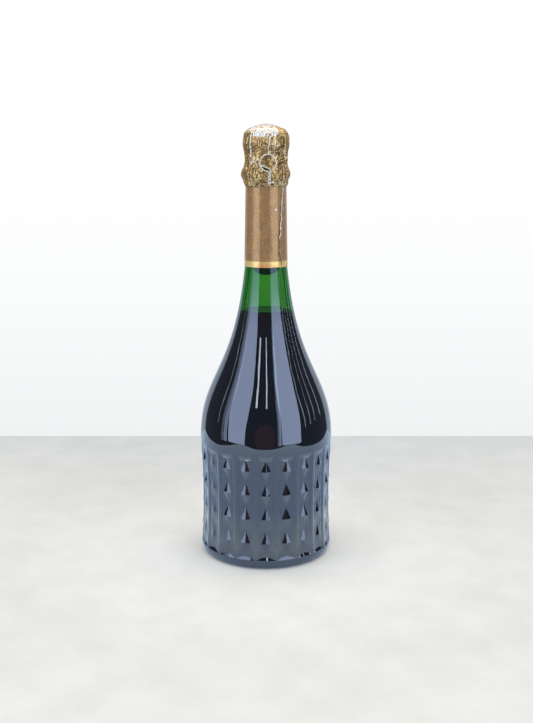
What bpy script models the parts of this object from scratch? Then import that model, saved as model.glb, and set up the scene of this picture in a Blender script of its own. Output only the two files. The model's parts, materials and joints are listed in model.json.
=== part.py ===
"""Sealed sparkling-wine bottle of about 0.7 litre: moulded glass with a fluted, diamond-cut body, a mushroom
cork, a crown plate, a twisted wire cage with its belt and pull loop, a foil hood and a foil neck sleeve.

Frame: metres, +Z up. The bottle stands on z = 0 around the Z axis, and the pull loop faces -Y.
Angles round the bottle are counted from -Y towards +X.
"""

import math

import bmesh
import bpy
from mathutils import Vector
from mathutils.geometry import interpolate_bezier

MM = 0.001

# Glass body
body_radius = 47.5 * MM
waist_draw = 1.3 * MM
heel_height = 7.0 * MM
heel_round_width = 4.4 * MM
heel_band = 1.0 * MM
standing_ring_width = 3.0 * MM
punt_height = 17.0 * MM
base_thickness = 5.0 * MM
body_wall = 3.8 * MM
inner_heel_height = 11.0 * MM
trough_wall_share = 0.8
punt_foot_width = 4.0 * MM

# Flutes round the body, and the raised diamonds that stand in each flute
flute_count = 20
flute_top = 82.2 * MM
flute_depth = 1.2 * MM
flute_land = 1.8 * MM
flute_foot_ramp = 3.4 * MM
flute_head_ramp = 1.7 * MM
diamond_rows = 4
diamond_first_height = 19.2 * MM
diamond_pitch = 17.5 * MM
diamond_height = 15.4 * MM
diamond_width = 6.7 * MM
diamond_rise = 1.4 * MM

# Shoulder, neck and finish of the glass
shoulder_start = 83.6 * MM
shoulder_lower_pull = 45.1 * MM
shoulder_upper_pull = 76.4 * MM
neck_foot_height = 209.0 * MM
neck_foot_radius = 14.95 * MM
neck_foot_slope = 0.1
neck_top_radius = 13.8 * MM
neck_wall = 3.8 * MM
lip_height = 285.5 * MM
lip_reach = 0.5 * MM
lip_round = 1.0 * MM
lip_band = 6.6 * MM
lip_groove = 0.6 * MM
ring_drop = 13.1 * MM
ring_reach = 2.4 * MM
ring_half_height = 4.4 * MM
bore_radius = 9.0 * MM
bore_chamfer = 0.8 * MM
bore_straight = 30.0 * MM

# Wine
fill_drop = 26.0 * MM

# Cork: a moulded-granule body with two discs of natural cork under it
cork_depth = 24.0 * MM
cork_disc_thickness = 5.4 * MM
cork_head_height = 15.1 * MM
cork_head_reach = 1.25 * MM

# Crown plate
plate_radius = 13.2 * MM
plate_thickness = 0.3 * MM
plate_dome_radius = 9.6 * MM
plate_dome_rise = 3.9 * MM
plate_lip_drop = 1.3 * MM

# Wire
wire_diameter = 0.9 * MM
strand_gap = 0.5 * MM
cage_ring_radius = 11.2 * MM
leg_count = 4
leg_turns = 3
leg_first_angle = math.radians(-38)
eyelet_width = 4.9 * MM
leg_end_drop = 3.9 * MM
eyelet_drop = 1.4 * MM
eyelet_foot_share = 0.8
belt_drop = 5.6 * MM
loop_angle = math.radians(9.2)
loop_stand_off = 0.6 * MM
loop_ring_diameter = 12.1 * MM
loop_ring_shift = 0.9 * MM
loop_stem_length = 6.25 * MM
loop_stem_half_turns = 3
loop_lean = math.radians(3)
root_length = 1.4 * MM
root_clearance = 0.35 * MM

# Foil
foil_thickness = 0.15 * MM
foil_gap = 0.2 * MM
hood_crown_gap = 1.3 * MM
hood_head_gap = 0.5 * MM
hood_skirt = 0.75 * MM
slot_width = 6.6 * MM
slot_height = 2.7 * MM
slot_start = -1.6 * MM
sleeve_gap = 0.3 * MM

# Clearance between neighbours that touch on the real bottle
seat_gap = 0.3 * MM
wire_gap = 0.15 * MM
leg_gap = 0.2 * MM
cut_overrun = 2.0 * MM

# Facet counts
round_steps = 50
cavity_steps = 30
shoulder_steps = 11
small_round_steps = 4
wire_rounding = 1
plain_step_angle = math.radians(9)

# Derived places
flute_pitch_angle = 2 * math.pi / flute_count
standing_radius = body_radius - heel_round_width
punt_radius = standing_radius - standing_ring_width
punt_dome_radius = punt_radius - punt_foot_width
inner_radius = body_radius - body_wall
ring_height = lip_height - ring_drop
lip_radius = neck_top_radius + lip_reach
ring_radius = neck_top_radius + ring_reach
cork_head_radius = lip_radius + cork_head_reach
groove_radius = lip_radius - lip_groove
groove_height = lip_height - lip_band
belt_height = ring_height - belt_drop
eyelet_bottom = belt_height - eyelet_drop - wire_diameter / 2
eyelet_twist_end = lip_height - leg_end_drop
fill_height = neck_foot_height - fill_drop
cork_bottom = lip_height - cork_depth
cork_seat = lip_height + seat_gap
cork_top = cork_seat + cork_head_height
cork_top_radius = plate_radius - plate_thickness - seat_gap
shank_radius = bore_radius - seat_gap
plate_seat = cork_top + seat_gap
plate_top = plate_seat + plate_thickness
wire_radius = wire_diameter / 2
strand_offset = (wire_diameter + strand_gap) / 2
leg_envelope = strand_offset + wire_radius
cage_ring_height = plate_top + wire_gap + wire_radius
belt_radius = neck_top_radius + wire_gap + wire_radius
hood_over_wire = wire_gap + foil_gap / 2 + foil_thickness
hood_top = plate_top + plate_dome_rise + hood_crown_gap
hood_edge_height = eyelet_bottom - hood_skirt
hood_head_radius = cork_head_radius + hood_head_gap
hood_waist_radius = lip_radius + foil_gap + foil_thickness


def remove_scene_objects():
    for found in list(bpy.context.scene.objects):
        bpy.data.objects.remove(found, do_unlink=True)


def new_collection(name):
    made = bpy.data.collections.new(name)
    bpy.context.scene.collection.children.link(made)
    return made


def new_material(name, color, roughness, metallic=0.0, transmission=0.0):
    made = bpy.data.materials.new(name)
    made.use_nodes = True
    shader = made.node_tree.nodes["Principled BSDF"]
    shader.inputs["Base Color"].default_value = (*color, 1)
    shader.inputs["Roughness"].default_value = roughness
    shader.inputs["Metallic"].default_value = metallic
    shader.inputs["Transmission Weight"].default_value = transmission
    made.diffuse_color = (*color, 1)
    return made


def polar(radius, angle, height):
    """Point at a radius and an angle round the bottle, counted from -Y towards +X."""
    return Vector((radius * math.sin(angle), -radius * math.cos(angle), height))


def blend(start, end, share):
    return start + (end - start) * share


def bezier(start, leave, arrive, end, steps):
    """Points of an outline's cubic curve, both ends included."""
    knots = [Vector(point).to_3d() for point in (start, leave, arrive, end)]
    return [(point.x, point.y) for point in interpolate_bezier(*knots, steps + 1)]


def ellipse_arc(center, radii, start, end, steps):
    """Points of an outline's elliptical arc between two angles in degrees, both ends included."""
    points = []
    for index in range(steps + 1):
        angle = math.radians(blend(start, end, index / steps))
        points.append((center[0] + radii[0] * math.cos(angle), center[1] + radii[1] * math.sin(angle)))
    return points


def smooth_through(points, steps):
    """A curve of Catmull-Rom spans through the given points of any dimension."""
    knots = [Vector(point) for point in points]
    curve = []
    for index in range(len(knots) - 1):
        before = knots[max(index - 1, 0)]
        start = knots[index]
        end = knots[index + 1]
        after = knots[min(index + 2, len(knots) - 1)]
        for step in range(steps):
            share = step / steps
            pull = (end - before) * share + (2 * before - 5 * start + 4 * end - after) * share ** 2
            push = (3 * start - before - 3 * end + after) * share ** 3
            curve.append(start + (pull + push) / 2)
    curve.append(knots[-1])
    return curve


def height_on(outline, height):
    """Radius of a falling outline of (radius, height) points at the given height."""
    for upper, lower in zip(outline, outline[1:]):
        if lower[1] <= height <= upper[1]:
            share = (upper[1] - height) / (upper[1] - lower[1])
            return blend(upper[0], lower[0], share)
    raise ValueError("the outline doesn't reach this height")


def new_object(name, data, material, collection):
    made = bpy.data.objects.new(name, data)
    collection.objects.link(made)
    if material:
        data.materials.append(material)
    return made


def as_cutter(made):
    made.hide_render = True
    made.display_type = "WIRE"


def turned(name, outline, material, collection, steps, closed=False):
    """A turned piece: the outline of (radius, height) points runs down its outer side."""
    mesh = bpy.data.meshes.new(name)
    points = [(radius, 0, height) for radius, height in outline]
    edges = [(index, index + 1) for index in range(len(points) - 1)]
    if closed:
        edges.append((len(points) - 1, 0))
    mesh.from_pydata(points, edges, [])
    made = new_object(name, mesh, material, collection)
    screw = made.modifiers.new("turn", "SCREW")
    screw.axis = "Z"
    screw.angle = 2 * math.pi
    screw.steps = steps
    screw.render_steps = steps
    screw.use_merge_vertices = True
    screw.merge_threshold = 0.001 * MM
    screw.use_smooth_shade = True
    return made


def cut_with(made, cutter, name):
    cut = made.modifiers.new(name, "BOOLEAN")
    cut.operation = "DIFFERENCE"
    cut.solver = "EXACT"
    cut.object = cutter


def wire(name, points, material, collection, cyclic=False):
    """One round wire along the points, its ends filled."""
    curve = bpy.data.curves.new(name, "CURVE")
    curve.dimensions = "3D"
    curve.bevel_depth = wire_radius
    curve.bevel_resolution = wire_rounding
    curve.use_fill_caps = True
    spline = curve.splines.new("POLY")
    spline.points.add(len(points) - 1)
    for point, place in zip(spline.points, points):
        point.co = (*place, 1)
    spline.use_cyclic_u = cyclic
    return new_object(name, curve, material, collection)


def least_strand_gap(points, apart):
    """Least clear gap between stretches of one wire that are more than the given arc length apart."""
    length = [0.0]
    for start, end in zip(points, points[1:]):
        length.append(length[-1] + (end - start).length)
    total = length[-1] + (points[0] - points[-1]).length
    least = total
    for index, start in enumerate(points):
        for other in range(index + 1, len(points)):
            along = length[other] - length[index]
            if min(along, total - along) > apart:
                least = min(least, (points[other] - start).length)
    return least - wire_diameter


# Outlines of the glass, each of (radius, height) points


def finish_outline():
    """Lip, crown band, groove and wire ring, then the tapering neck, from the top down."""
    points = [(0, lip_height)]
    lip_center = (lip_radius - lip_round, lip_height - lip_round)
    points += ellipse_arc(lip_center, (lip_round, lip_round), 90, 0, small_round_steps // 2)
    points.append((lip_radius, groove_height + lip_round))
    points.append((groove_radius, groove_height))
    ring_center = (groove_radius, ring_height)
    ring_radii = (ring_radius - groove_radius, ring_half_height)
    points += ellipse_arc(ring_center, ring_radii, 75, -75, 2 * small_round_steps)
    points.append((neck_top_radius, ring_height - ring_half_height - lip_groove))
    return points


def shoulder_outline(foot, start_radius, steps):
    """The long curve of neck and shoulder from the neck's foot down to the top of the body."""
    leave = (foot[0] + shoulder_upper_pull * neck_foot_slope, foot[1] - shoulder_upper_pull)
    arrive = (start_radius, shoulder_start + shoulder_lower_pull)
    return bezier(foot, leave, arrive, (start_radius, shoulder_start), steps)


def upper_outline():
    foot = (neck_foot_radius, neck_foot_height)
    return finish_outline() + shoulder_outline(foot, body_radius, shoulder_steps)


def base_outline():
    """Rounded heel, flat standing ring and the hollow punt, from the body down and in to the axis."""
    heel_center = (standing_radius, heel_height - heel_band)
    heel_radii = (heel_round_width, heel_center[1])
    points = ellipse_arc(heel_center, heel_radii, 0, -90, small_round_steps)
    points.append((punt_radius, 0))
    points += ellipse_arc((0, 0), (punt_dome_radius, punt_height), 8, 90, small_round_steps + 1)
    points[-1] = (0, punt_height)
    return points


def waist_at(height):
    """How far the body is drawn in at a height between its heel and the top of its flutes."""
    middle = (heel_height + flute_top) / 2
    half = (flute_top - heel_height) / 2
    return waist_draw * (1 - ((height - middle) / half) ** 2)


def cavity_side(inset):
    """Inside of the glass from the neck's foot down over the punt, drawn in by an inset."""
    wall_radius = inner_radius - inset
    foot = (neck_foot_radius - neck_wall - inset, neck_foot_height)
    points = shoulder_outline(foot, wall_radius, shoulder_steps - small_round_steps)
    floor = base_thickness + inset
    heel_top = floor + inner_heel_height
    for share in (0.25, 0.5, 0.75):
        height = blend(flute_top, heel_top, share)
        points.append((wall_radius - waist_at(height), height))
    trough_radius = punt_dome_radius + trough_wall_share * base_thickness + inset
    lower_radius = wall_radius - waist_at(heel_top)
    fillet_radii = (lower_radius - trough_radius, inner_heel_height)
    points += ellipse_arc((trough_radius, heel_top), fillet_radii, 0, -90, small_round_steps)
    points += ellipse_arc((0, floor), (trough_radius, punt_height), 12, 90, small_round_steps + 1)
    points[-1] = (0, floor + punt_height)
    return points


def cavity_outline():
    """The whole hollow of the bottle: chamfered mouth, straight bore, widening neck and body."""
    points = [(0, lip_height + cut_overrun)]
    points.append((bore_radius + bore_chamfer, lip_height + cut_overrun))
    points.append((bore_radius + bore_chamfer, lip_height))
    points.append((bore_radius, lip_height - bore_chamfer))
    points.append((bore_radius, lip_height - bore_straight))
    return points + cavity_side(0)


# Fluted body: every row of points round it has five columns to a flute, from one edge to the other


def flute_columns():
    """Angle of each of the five columns from the middle of its flute."""
    corner = diamond_width / 2 / body_radius
    edge = flute_pitch_angle / 2 - flute_land / 2 / body_radius
    return {-2: -edge, -1: -corner, 0: 0.0, 1: corner, 2: edge}


def flute_rows():
    """Height and kind of each row of points up the fluted body."""
    rows = [(heel_height, "rim"), (heel_height, "foot")]
    for index in range(diamond_rows):
        middle = diamond_first_height + index * diamond_pitch
        rows.append((middle - diamond_height / 2, "ground"))
        rows.append((middle, "peak"))
        rows.append((middle + diamond_height / 2, "ground"))
    rows += [(flute_top, "head"), (flute_top, "rim")]
    return rows


def flute_point(height, kind, flute, column):
    """Place of one point of the fluted body."""
    offset = flute_columns()[column]
    hollow = 1 - (offset / flute_columns()[2]) ** 2
    least_ramp_share = 0.15
    ramp = max(hollow, least_ramp_share)
    if kind == "foot":
        height += flute_foot_ramp * ramp
    if kind == "head":
        height -= flute_head_ramp * ramp
    radius = body_radius
    if kind != "rim":
        radius -= waist_at(height) + flute_depth * hollow
    if kind == "peak" and column == 0:
        radius += diamond_rise
    angle = flute * flute_pitch_angle + offset
    return Vector((radius * math.cos(angle), radius * math.sin(angle), height))


def add_fluted_body(bm):
    """Spins a plain drum, then moves its points onto the flutes and the diamonds."""
    rows = flute_rows()
    drum = [bm.verts.new((body_radius, 0, index * body_radius)) for index in range(len(rows))]
    line = [bm.edges.new(pair) for pair in zip(drum, drum[1:])]
    columns = len(flute_columns())
    steps = flute_count * columns
    bmesh.ops.spin(bm, geom=drum + line, axis=(0, 0, 1), angle=2 * math.pi, steps=steps, use_merge=True)
    places = {}
    for vert in bm.verts:
        row = round(vert.co.z / body_radius)
        turn = round(math.atan2(vert.co.y, vert.co.x) / (2 * math.pi) * steps) % steps
        column = (turn + 2) % columns - 2
        flute = (turn - column) // columns
        places[vert] = (row, column)
        vert.co = flute_point(*rows[row], flute, column)
    split_diamonds(bm, rows, places)


def split_diamonds(bm, rows, places):
    """Runs an edge from each diamond's top and bottom point to its side corners."""
    for face in list(bm.faces):
        corners = {places[vert]: vert for vert in face.verts}
        kinds = {rows[row][1] for row, column in corners}
        spanned = {column for row, column in corners}
        if kinds == {"ground", "peak"} and spanned in ({0, 1}, {-1, 0}):
            tip = next(vert for (row, column), vert in corners.items()
                       if rows[row][1] == "ground" and column == 0)
            side = next(vert for (row, column), vert in corners.items()
                        if rows[row][1] == "peak" and column != 0)
            bmesh.utils.face_split(face, tip, side)


def add_turned_skin(bm, outline):
    """Spins an open outline that ends on the axis, as part of a larger skin."""
    verts = [bm.verts.new((radius, 0, height)) for radius, height in outline]
    edges = [bm.edges.new(pair) for pair in zip(verts, verts[1:])]
    full_turn = 2 * math.pi
    bmesh.ops.spin(bm, geom=verts + edges, axis=(0, 0, 1), angle=full_turn, steps=round_steps, use_merge=True)


def open_rim(bm, height):
    """Edges of the open rim that lies at the given height."""
    tolerance = 0.01 * MM
    return [edge for edge in bm.edges
            if edge.is_boundary and all(abs(vert.co.z - height) < tolerance for vert in edge.verts)]


def glass_bottle(material, parts, cutters):
    bm = bmesh.new()
    add_fluted_body(bm)
    above = upper_outline()
    below = base_outline()
    add_turned_skin(bm, above)
    add_turned_skin(bm, below)
    bmesh.ops.remove_doubles(bm, verts=bm.verts, dist=0.001 * MM)
    bmesh.ops.bridge_loops(bm, edges=open_rim(bm, flute_top) + open_rim(bm, above[-1][1]))
    bmesh.ops.bridge_loops(bm, edges=open_rim(bm, heel_height) + open_rim(bm, below[0][1]))
    bmesh.ops.recalc_face_normals(bm, faces=bm.faces)
    mesh = bpy.data.meshes.new("glass_bottle")
    bm.to_mesh(mesh)
    bm.free()
    mesh.shade_smooth()
    mesh.set_sharp_from_angle(angle=math.radians(25))
    made = new_object("glass_bottle", mesh, material, parts)
    hollow = turned("bottle_hollow", cavity_outline(), None, cutters, cavity_steps)
    as_cutter(hollow)
    cut_with(made, hollow, "hollow")
    return made


def wine(material, parts):
    """The wine, up to its level in the neck."""
    side = cavity_side(seat_gap)
    surface_radius = height_on(side, fill_height)
    below = [point for point in side if point[1] < fill_height or point[0] > surface_radius]
    outline = [(0, fill_height), (surface_radius, fill_height)] + below
    return turned("wine", outline, material, parts, cavity_steps)


# Cork, plate and cage


def cork_head_outline():
    """Mushroom head of the cork, from its flat top down to its seat on the lip."""
    under_lip = plate_top - plate_lip_drop - seat_gap
    side_shares = ((0.62, 0.94), (0.88, 0.8), (1.0, 0.58), (1.0, 0.4), (0.8, 0.18))
    corner = plate_lip_drop / 2
    points = [(0, cork_top), (cork_top_radius - corner, cork_top)]
    points += [(cork_top_radius, cork_top - corner), (cork_top_radius, under_lip)]
    for radius_share, height_share in side_shares:
        radius = blend(cork_top_radius, cork_head_radius, radius_share)
        points.append((radius, blend(cork_seat, under_lip, height_share)))
    points.append((lip_radius - seat_gap, cork_seat))
    return points


def leg_path():
    """Middle of a leg as (radius, height) points: over the plate's edge, down the cork, in at the waist."""
    over_edge = plate_radius + wire_radius + leg_gap
    along_cork = cork_head_radius + leg_gap
    return [
        (cage_ring_radius, cage_ring_height),
        (blend(cage_ring_radius, over_edge, 0.6), cage_ring_height - leg_gap),
        (over_edge, plate_top - wire_radius),
        (cork_head_radius - 2 * leg_gap, plate_top - 2 * plate_lip_drop + wire_radius),
        (along_cork - 2 * leg_gap, plate_top - 3 * plate_lip_drop),
        (along_cork, cork_top - cork_head_height * 0.6),
        (along_cork, cork_seat + plate_lip_drop),
        (lip_radius + leg_envelope + leg_gap, eyelet_twist_end),
    ]


def cork_body(material, parts, cutters):
    """Granule body: head and upper shank, with the four grooves that the legs press into the head."""
    disc_top = cork_bottom + 2 * (cork_disc_thickness + seat_gap)
    outline = cork_head_outline() + [(shank_radius, cork_seat), (shank_radius, disc_top), (0, disc_top)]
    made = turned("cork_body", outline, material, parts, cavity_steps)
    press_radius = leg_envelope + wire_gap
    start = leg_path()[4]
    end = leg_path()[7]
    for index in range(leg_count):
        angle = leg_first_angle + index * 2 * math.pi / leg_count
        upper = polar(start[0], angle, start[1] + cut_overrun)
        lower = polar(end[0], angle, end[1] - cut_overrun)
        mesh = bpy.data.meshes.new("leg_groove")
        bm = bmesh.new()
        bmesh.ops.create_cone(bm, cap_ends=True, segments=12, radius1=press_radius,
                              radius2=press_radius, depth=(upper - lower).length)
        bm.to_mesh(mesh)
        bm.free()
        groove = new_object(f"leg_groove_{index + 1}", mesh, None, cutters)
        groove.location = (upper + lower) / 2
        groove.rotation_mode = "QUATERNION"
        groove.rotation_quaternion = (upper - lower).to_track_quat("Z", "Y")
        as_cutter(groove)
        cut_with(made, groove, f"groove_{index + 1}")
    return made


def cork_disc(name, bottom, material, parts):
    top = bottom + cork_disc_thickness
    outline = [(0, top), (shank_radius, top), (shank_radius, bottom), (0, bottom)]
    return turned(name, outline, material, parts, cavity_steps)


def crown_plate(material, parts):
    """Pressed plate: shallow dome, a trough for the cage's ring, and a lip turned down."""
    dome = ellipse_arc((0, plate_top), (plate_dome_radius, plate_dome_rise), 90, 12, small_round_steps)
    dome[0] = (0, plate_top + plate_dome_rise)
    trough = [(plate_dome_radius + plate_thickness, plate_top), (plate_radius - plate_lip_drop, plate_top)]
    lip_center = (plate_radius - plate_lip_drop, plate_top - plate_lip_drop)
    lip = ellipse_arc(lip_center, (plate_lip_drop, plate_lip_drop), 60, 0, small_round_steps // 2)
    made = turned("crown_plate", dome + trough + lip, material, parts, cavity_steps)
    thicken = made.modifiers.new("sheet", "SOLIDIFY")
    thicken.thickness = plate_thickness
    thicken.offset = -1
    return made


def twisted_strand(path, phase, turns, per_turn):
    """One strand of a twisted pair along a leg's (radius, height) points, as (radius, side, height)."""
    steps = turns * per_turn
    knots = smooth_through(path, steps)
    lengths = [0.0]
    for start, end in zip(knots, knots[1:]):
        lengths.append(lengths[-1] + (end - start).length)
    points = []
    for step in range(steps + 1):
        wanted = lengths[-1] * step / steps
        rounding = wire_radius / 1000
        reached = next(index for index, run in enumerate(lengths) if run >= wanted - rounding)
        index = min(reached, len(knots) - 2)
        middle = knots[index]
        along = (knots[index + 1] - middle).normalized()
        angle = phase + 2 * math.pi * step / per_turn
        outward = math.sin(angle) * strand_offset
        side = math.cos(angle) * strand_offset
        points.append((middle.x - along.y * outward, side, middle.y + along.x * outward))
    return points


def leg_points(strand_side):
    """Points of one strand of a leg from the cage's ring down to the bottom of its eyelet."""
    path = leg_path()
    side = strand_side
    points = []
    for index, share in ((1, 1.5), (2, 1.3), (3, 1.1)):
        points.append((path[index][0], side * strand_offset * share, path[index][1]))
    phase = 0.0 if side > 0 else math.pi
    points += twisted_strand(path[4:], phase, leg_turns, 6)
    half = eyelet_width / 2
    over_ring = ring_radius + wire_gap + wire_radius
    at_belt = belt_radius + wire_gap if side < 0 else belt_radius + wire_diameter + 2 * wire_gap
    shoulder_height = ring_height + ring_half_height
    opening_height = blend(eyelet_twist_end, shoulder_height, 0.35)
    points.append((path[-1][0] - wire_radius / 2, side * half * 0.55, opening_height))
    points.append((over_ring - leg_gap / 2, side * half * 0.85, blend(shoulder_height, ring_height, 0.3)))
    points.append((over_ring, side * half, ring_height))
    points.append((over_ring - leg_gap, side * half * 0.95, ring_height - ring_half_height * 0.6))
    over_belt = belt_height + wire_radius * 1.6
    points.append((at_belt + wire_radius / 3, side * half * eyelet_foot_share, over_belt))
    points.append((at_belt, side * half * 0.6, belt_height - wire_radius))
    return points


def cage_wire_points():
    """The whole cage as one endless wire: along its ring, down a leg, round the eyelet and up again."""
    points = []
    quarter = 2 * math.pi / leg_count
    for index in range(leg_count):
        angle = leg_first_angle + index * quarter
        bottom = (belt_radius + wire_radius, 0, belt_height - eyelet_drop)
        local = leg_points(-1) + [bottom] + list(reversed(leg_points(1)))
        for radius, side, height in local:
            points.append(polar(radius, angle, height) + side * polar(1, angle + math.pi / 2, 0))
        ring_margin = 2.6 * strand_offset / cage_ring_radius
        ring_steps = 5
        for step in range(ring_steps + 1):
            along = blend(angle + ring_margin, angle + quarter - ring_margin, step / ring_steps)
            points.append(polar(cage_ring_radius, along, cage_ring_height))
    return points


def wire_cage(material, parts):
    points = cage_wire_points()
    least = least_strand_gap(points, 4 * wire_diameter)
    print("least gap between strands of the cage, mm:", round(least / MM, 3))
    return wire("wire_cage", points, material, parts, cyclic=True)


def belt_wire(material, parts):
    """The belt below the glass ring: over one side of each eyelet, under the other, its ends turned out."""
    strand_angle = strand_offset / belt_radius
    turn_angle = 3.4 * strand_angle
    rise = wire_diameter + 3 * wire_gap
    over = eyelet_width / 2 * eyelet_foot_share / belt_radius
    side_lift_shares = ((-2.5, 0.0), (-1.5, 0.8), (-1.0, 1.0), (-0.5, 0.8), (0.5, 0.0))
    marks = [(loop_angle + turn_angle, 0.0)]
    for index in range(1, leg_count + 1):
        leg = leg_first_angle + index * 2 * math.pi / leg_count
        marks += [(leg + side * over, lift) for side, lift in side_lift_shares]
    marks.append((loop_angle + 2 * math.pi - turn_angle, 0.0))
    points = []
    for (start, first_lift), (end, last_lift) in zip(marks, marks[1:]):
        steps = max(1, round((end - start) / plain_step_angle))
        for step in range(steps):
            lift = blend(first_lift, last_lift, step / steps)
            points.append(polar(belt_radius + rise * lift, blend(start, end, step / steps), belt_height))
    points.append(polar(belt_radius, marks[-1][0], belt_height))
    end_turn_shares = ((wire_gap, 2.0), (wire_radius, 1.3), (wire_diameter, 1.0))
    for outward, share in end_turn_shares:
        points.insert(0, polar(belt_radius + outward, loop_angle + share * strand_angle, belt_height))
        points.append(polar(belt_radius + outward, loop_angle - share * strand_angle, belt_height))
    across = polar(strand_offset, loop_angle + math.pi / 2, 0)
    points.insert(0, polar(ring_radius, loop_angle, belt_height) + across)
    points.append(polar(ring_radius, loop_angle, belt_height) - across)
    return wire("belt_wire", points, material, parts)


def loop_root_place():
    """The point where the pull loop folds: just outside the glass ring's reach, at the belt's height."""
    reach = ring_radius + loop_stand_off + root_length
    return Vector((belt_radius * math.sin(loop_angle), -reach, belt_height))


def twist_axis(parts):
    made = bpy.data.objects.new("loop_twist_axis", None)
    made.location = loop_root_place()
    parts.objects.link(made)
    return made


def twist_root(material, parts, axis):
    """Hairpin end of the twisted belt wires, which points straight out from the neck."""
    points = [Vector((strand_offset, root_length, 0)), Vector((strand_offset, 0, 0))]
    for step in range(1, 6):
        angle = math.pi * step / 6
        points.append(Vector((strand_offset * math.cos(angle), -strand_offset * math.sin(angle), 0)))
    points += [Vector((-strand_offset, 0, 0)), Vector((-strand_offset, root_length, 0))]
    made = wire("twist_root", points, material, parts)
    made.parent = axis
    return made


def pull_loop(material, parts, axis):
    """Twisted stem and round finger ring in one wire, leaning a little towards the hood."""
    bend_radius = (loop_ring_diameter - wire_diameter) / 2
    stem_start = leg_envelope + root_clearance
    stem_end = stem_start + loop_stem_length
    per_half_turn = 4
    steps = loop_stem_half_turns * per_half_turn
    strands = []
    for side in (1, -1):
        strand = []
        for step in range(steps + 1):
            angle = math.pi * step / per_half_turn
            offset = side * strand_offset
            height = blend(stem_start, stem_end, step / steps)
            strand.append(Vector((offset * math.cos(angle), offset * math.sin(angle), height)))
        strands.append(strand)
    last_side = strands[0][-1].x
    opening = math.asin(2 * strand_offset / bend_radius)
    middle = Vector((-loop_ring_shift, 0, stem_end + bend_radius * math.cos(opening) + strand_offset))
    ring = []
    ring_steps = 20
    for step in range(ring_steps + 1):
        angle = blend(opening, 2 * math.pi - opening, step / ring_steps)
        across = math.copysign(bend_radius, last_side) * math.sin(angle)
        ring.append(middle + Vector((across, 0, -bend_radius * math.cos(angle))))
    points = strands[0] + ring + list(reversed(strands[1]))
    leaned = [Vector((p.x, p.y + p.z * math.sin(loop_lean), p.z * math.cos(loop_lean))) for p in points]
    least = least_strand_gap(leaned, 4 * wire_diameter)
    print("least gap between strands of the loop, mm:", round(least / MM, 3))
    made = wire("pull_loop", leaned, material, parts)
    made.parent = axis
    return made


# Foil


def hood_outline():
    """Outer side of the hood between the legs, from the top of the dome to the torn-off edge at the neck."""
    knots = [
        (0, hood_top),
        (hood_head_radius * 0.42, hood_top - plate_dome_rise * 0.5),
        (plate_radius + wire_radius, plate_top + wire_diameter),
        (hood_head_radius * 0.945, plate_top - plate_lip_drop * 1.7),
        (hood_head_radius, cork_top - cork_head_height * 0.55),
        (hood_head_radius * 0.955, cork_seat + cork_head_height * 0.18),
        (hood_waist_radius, lip_height - lip_round / 2),
        (hood_waist_radius, groove_height + lip_round),
        (ring_radius - foil_thickness, ring_height + ring_half_height * 0.72),
        (ring_radius + foil_gap + foil_thickness, ring_height),
        (ring_radius - foil_thickness, ring_height - ring_half_height * 0.72),
        (belt_radius + wire_radius + foil_gap + foil_thickness, belt_height),
        (belt_radius + foil_gap, eyelet_bottom),
        (neck_top_radius + foil_gap + foil_thickness, hood_edge_height),
    ]
    curve = smooth_through(knots[:5], 2)[:-1] + smooth_through(knots[4:], 1)
    return [(max(point.x, 0), point.y) for point in curve]


def leg_cover_radius(height):
    """Least radius of the hood's outer side where it passes over a leg and its eyelet."""
    path = leg_path()
    over_ring = ring_radius + wire_gap + 2 * wire_radius
    at_belt = belt_radius + wire_diameter + 3 * wire_gap + wire_radius
    cover = [(radius + wire_radius, level + wire_radius) for radius, level in path[2:4]]
    cover += [(radius + leg_envelope, level) for radius, level in path[4:]]
    cover += [(over_ring, ring_height + ring_half_height * 0.7), (over_ring, ring_height)]
    cover += [(over_ring, ring_height - ring_half_height * 0.6)]
    cover += [(at_belt, belt_height + wire_radius), (at_belt, eyelet_bottom)]
    if height > cover[0][1] or height < cover[-1][1]:
        return 0.0
    return height_on(cover, height) + hood_over_wire


def hood_column_angles():
    """Angles of the hood's columns round a leg, close beside the leg and wider between legs."""
    near = [math.radians(angle) for angle in (-18, -11, -6, 0, 6, 11, 18)]
    quarter = 2 * math.pi / leg_count
    between_steps = 4
    gap = quarter - (near[-1] - near[0])
    return near + [near[-1] + gap * step / between_steps for step in range(1, between_steps)]


def cover_share(offset, height):
    """How much of the leg's bulge the hood has at an angle beside the leg: wider over the eyelet."""
    narrow_shares = {0: 1.0, 6: 0.8, 11: 0.3, 18: 0.0}
    wide_shares = {0: 1.0, 6: 1.0, 11: 1.0, 18: 0.3}
    key = min(narrow_shares, key=lambda angle: abs(angle - abs(math.degrees(offset))))
    spread = (eyelet_twist_end - height) / (eyelet_twist_end - ring_height - ring_half_height * 0.7)
    spread = min(max(spread, 0.0), 1.0)
    return blend(narrow_shares[key], wide_shares[key], spread)


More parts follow.
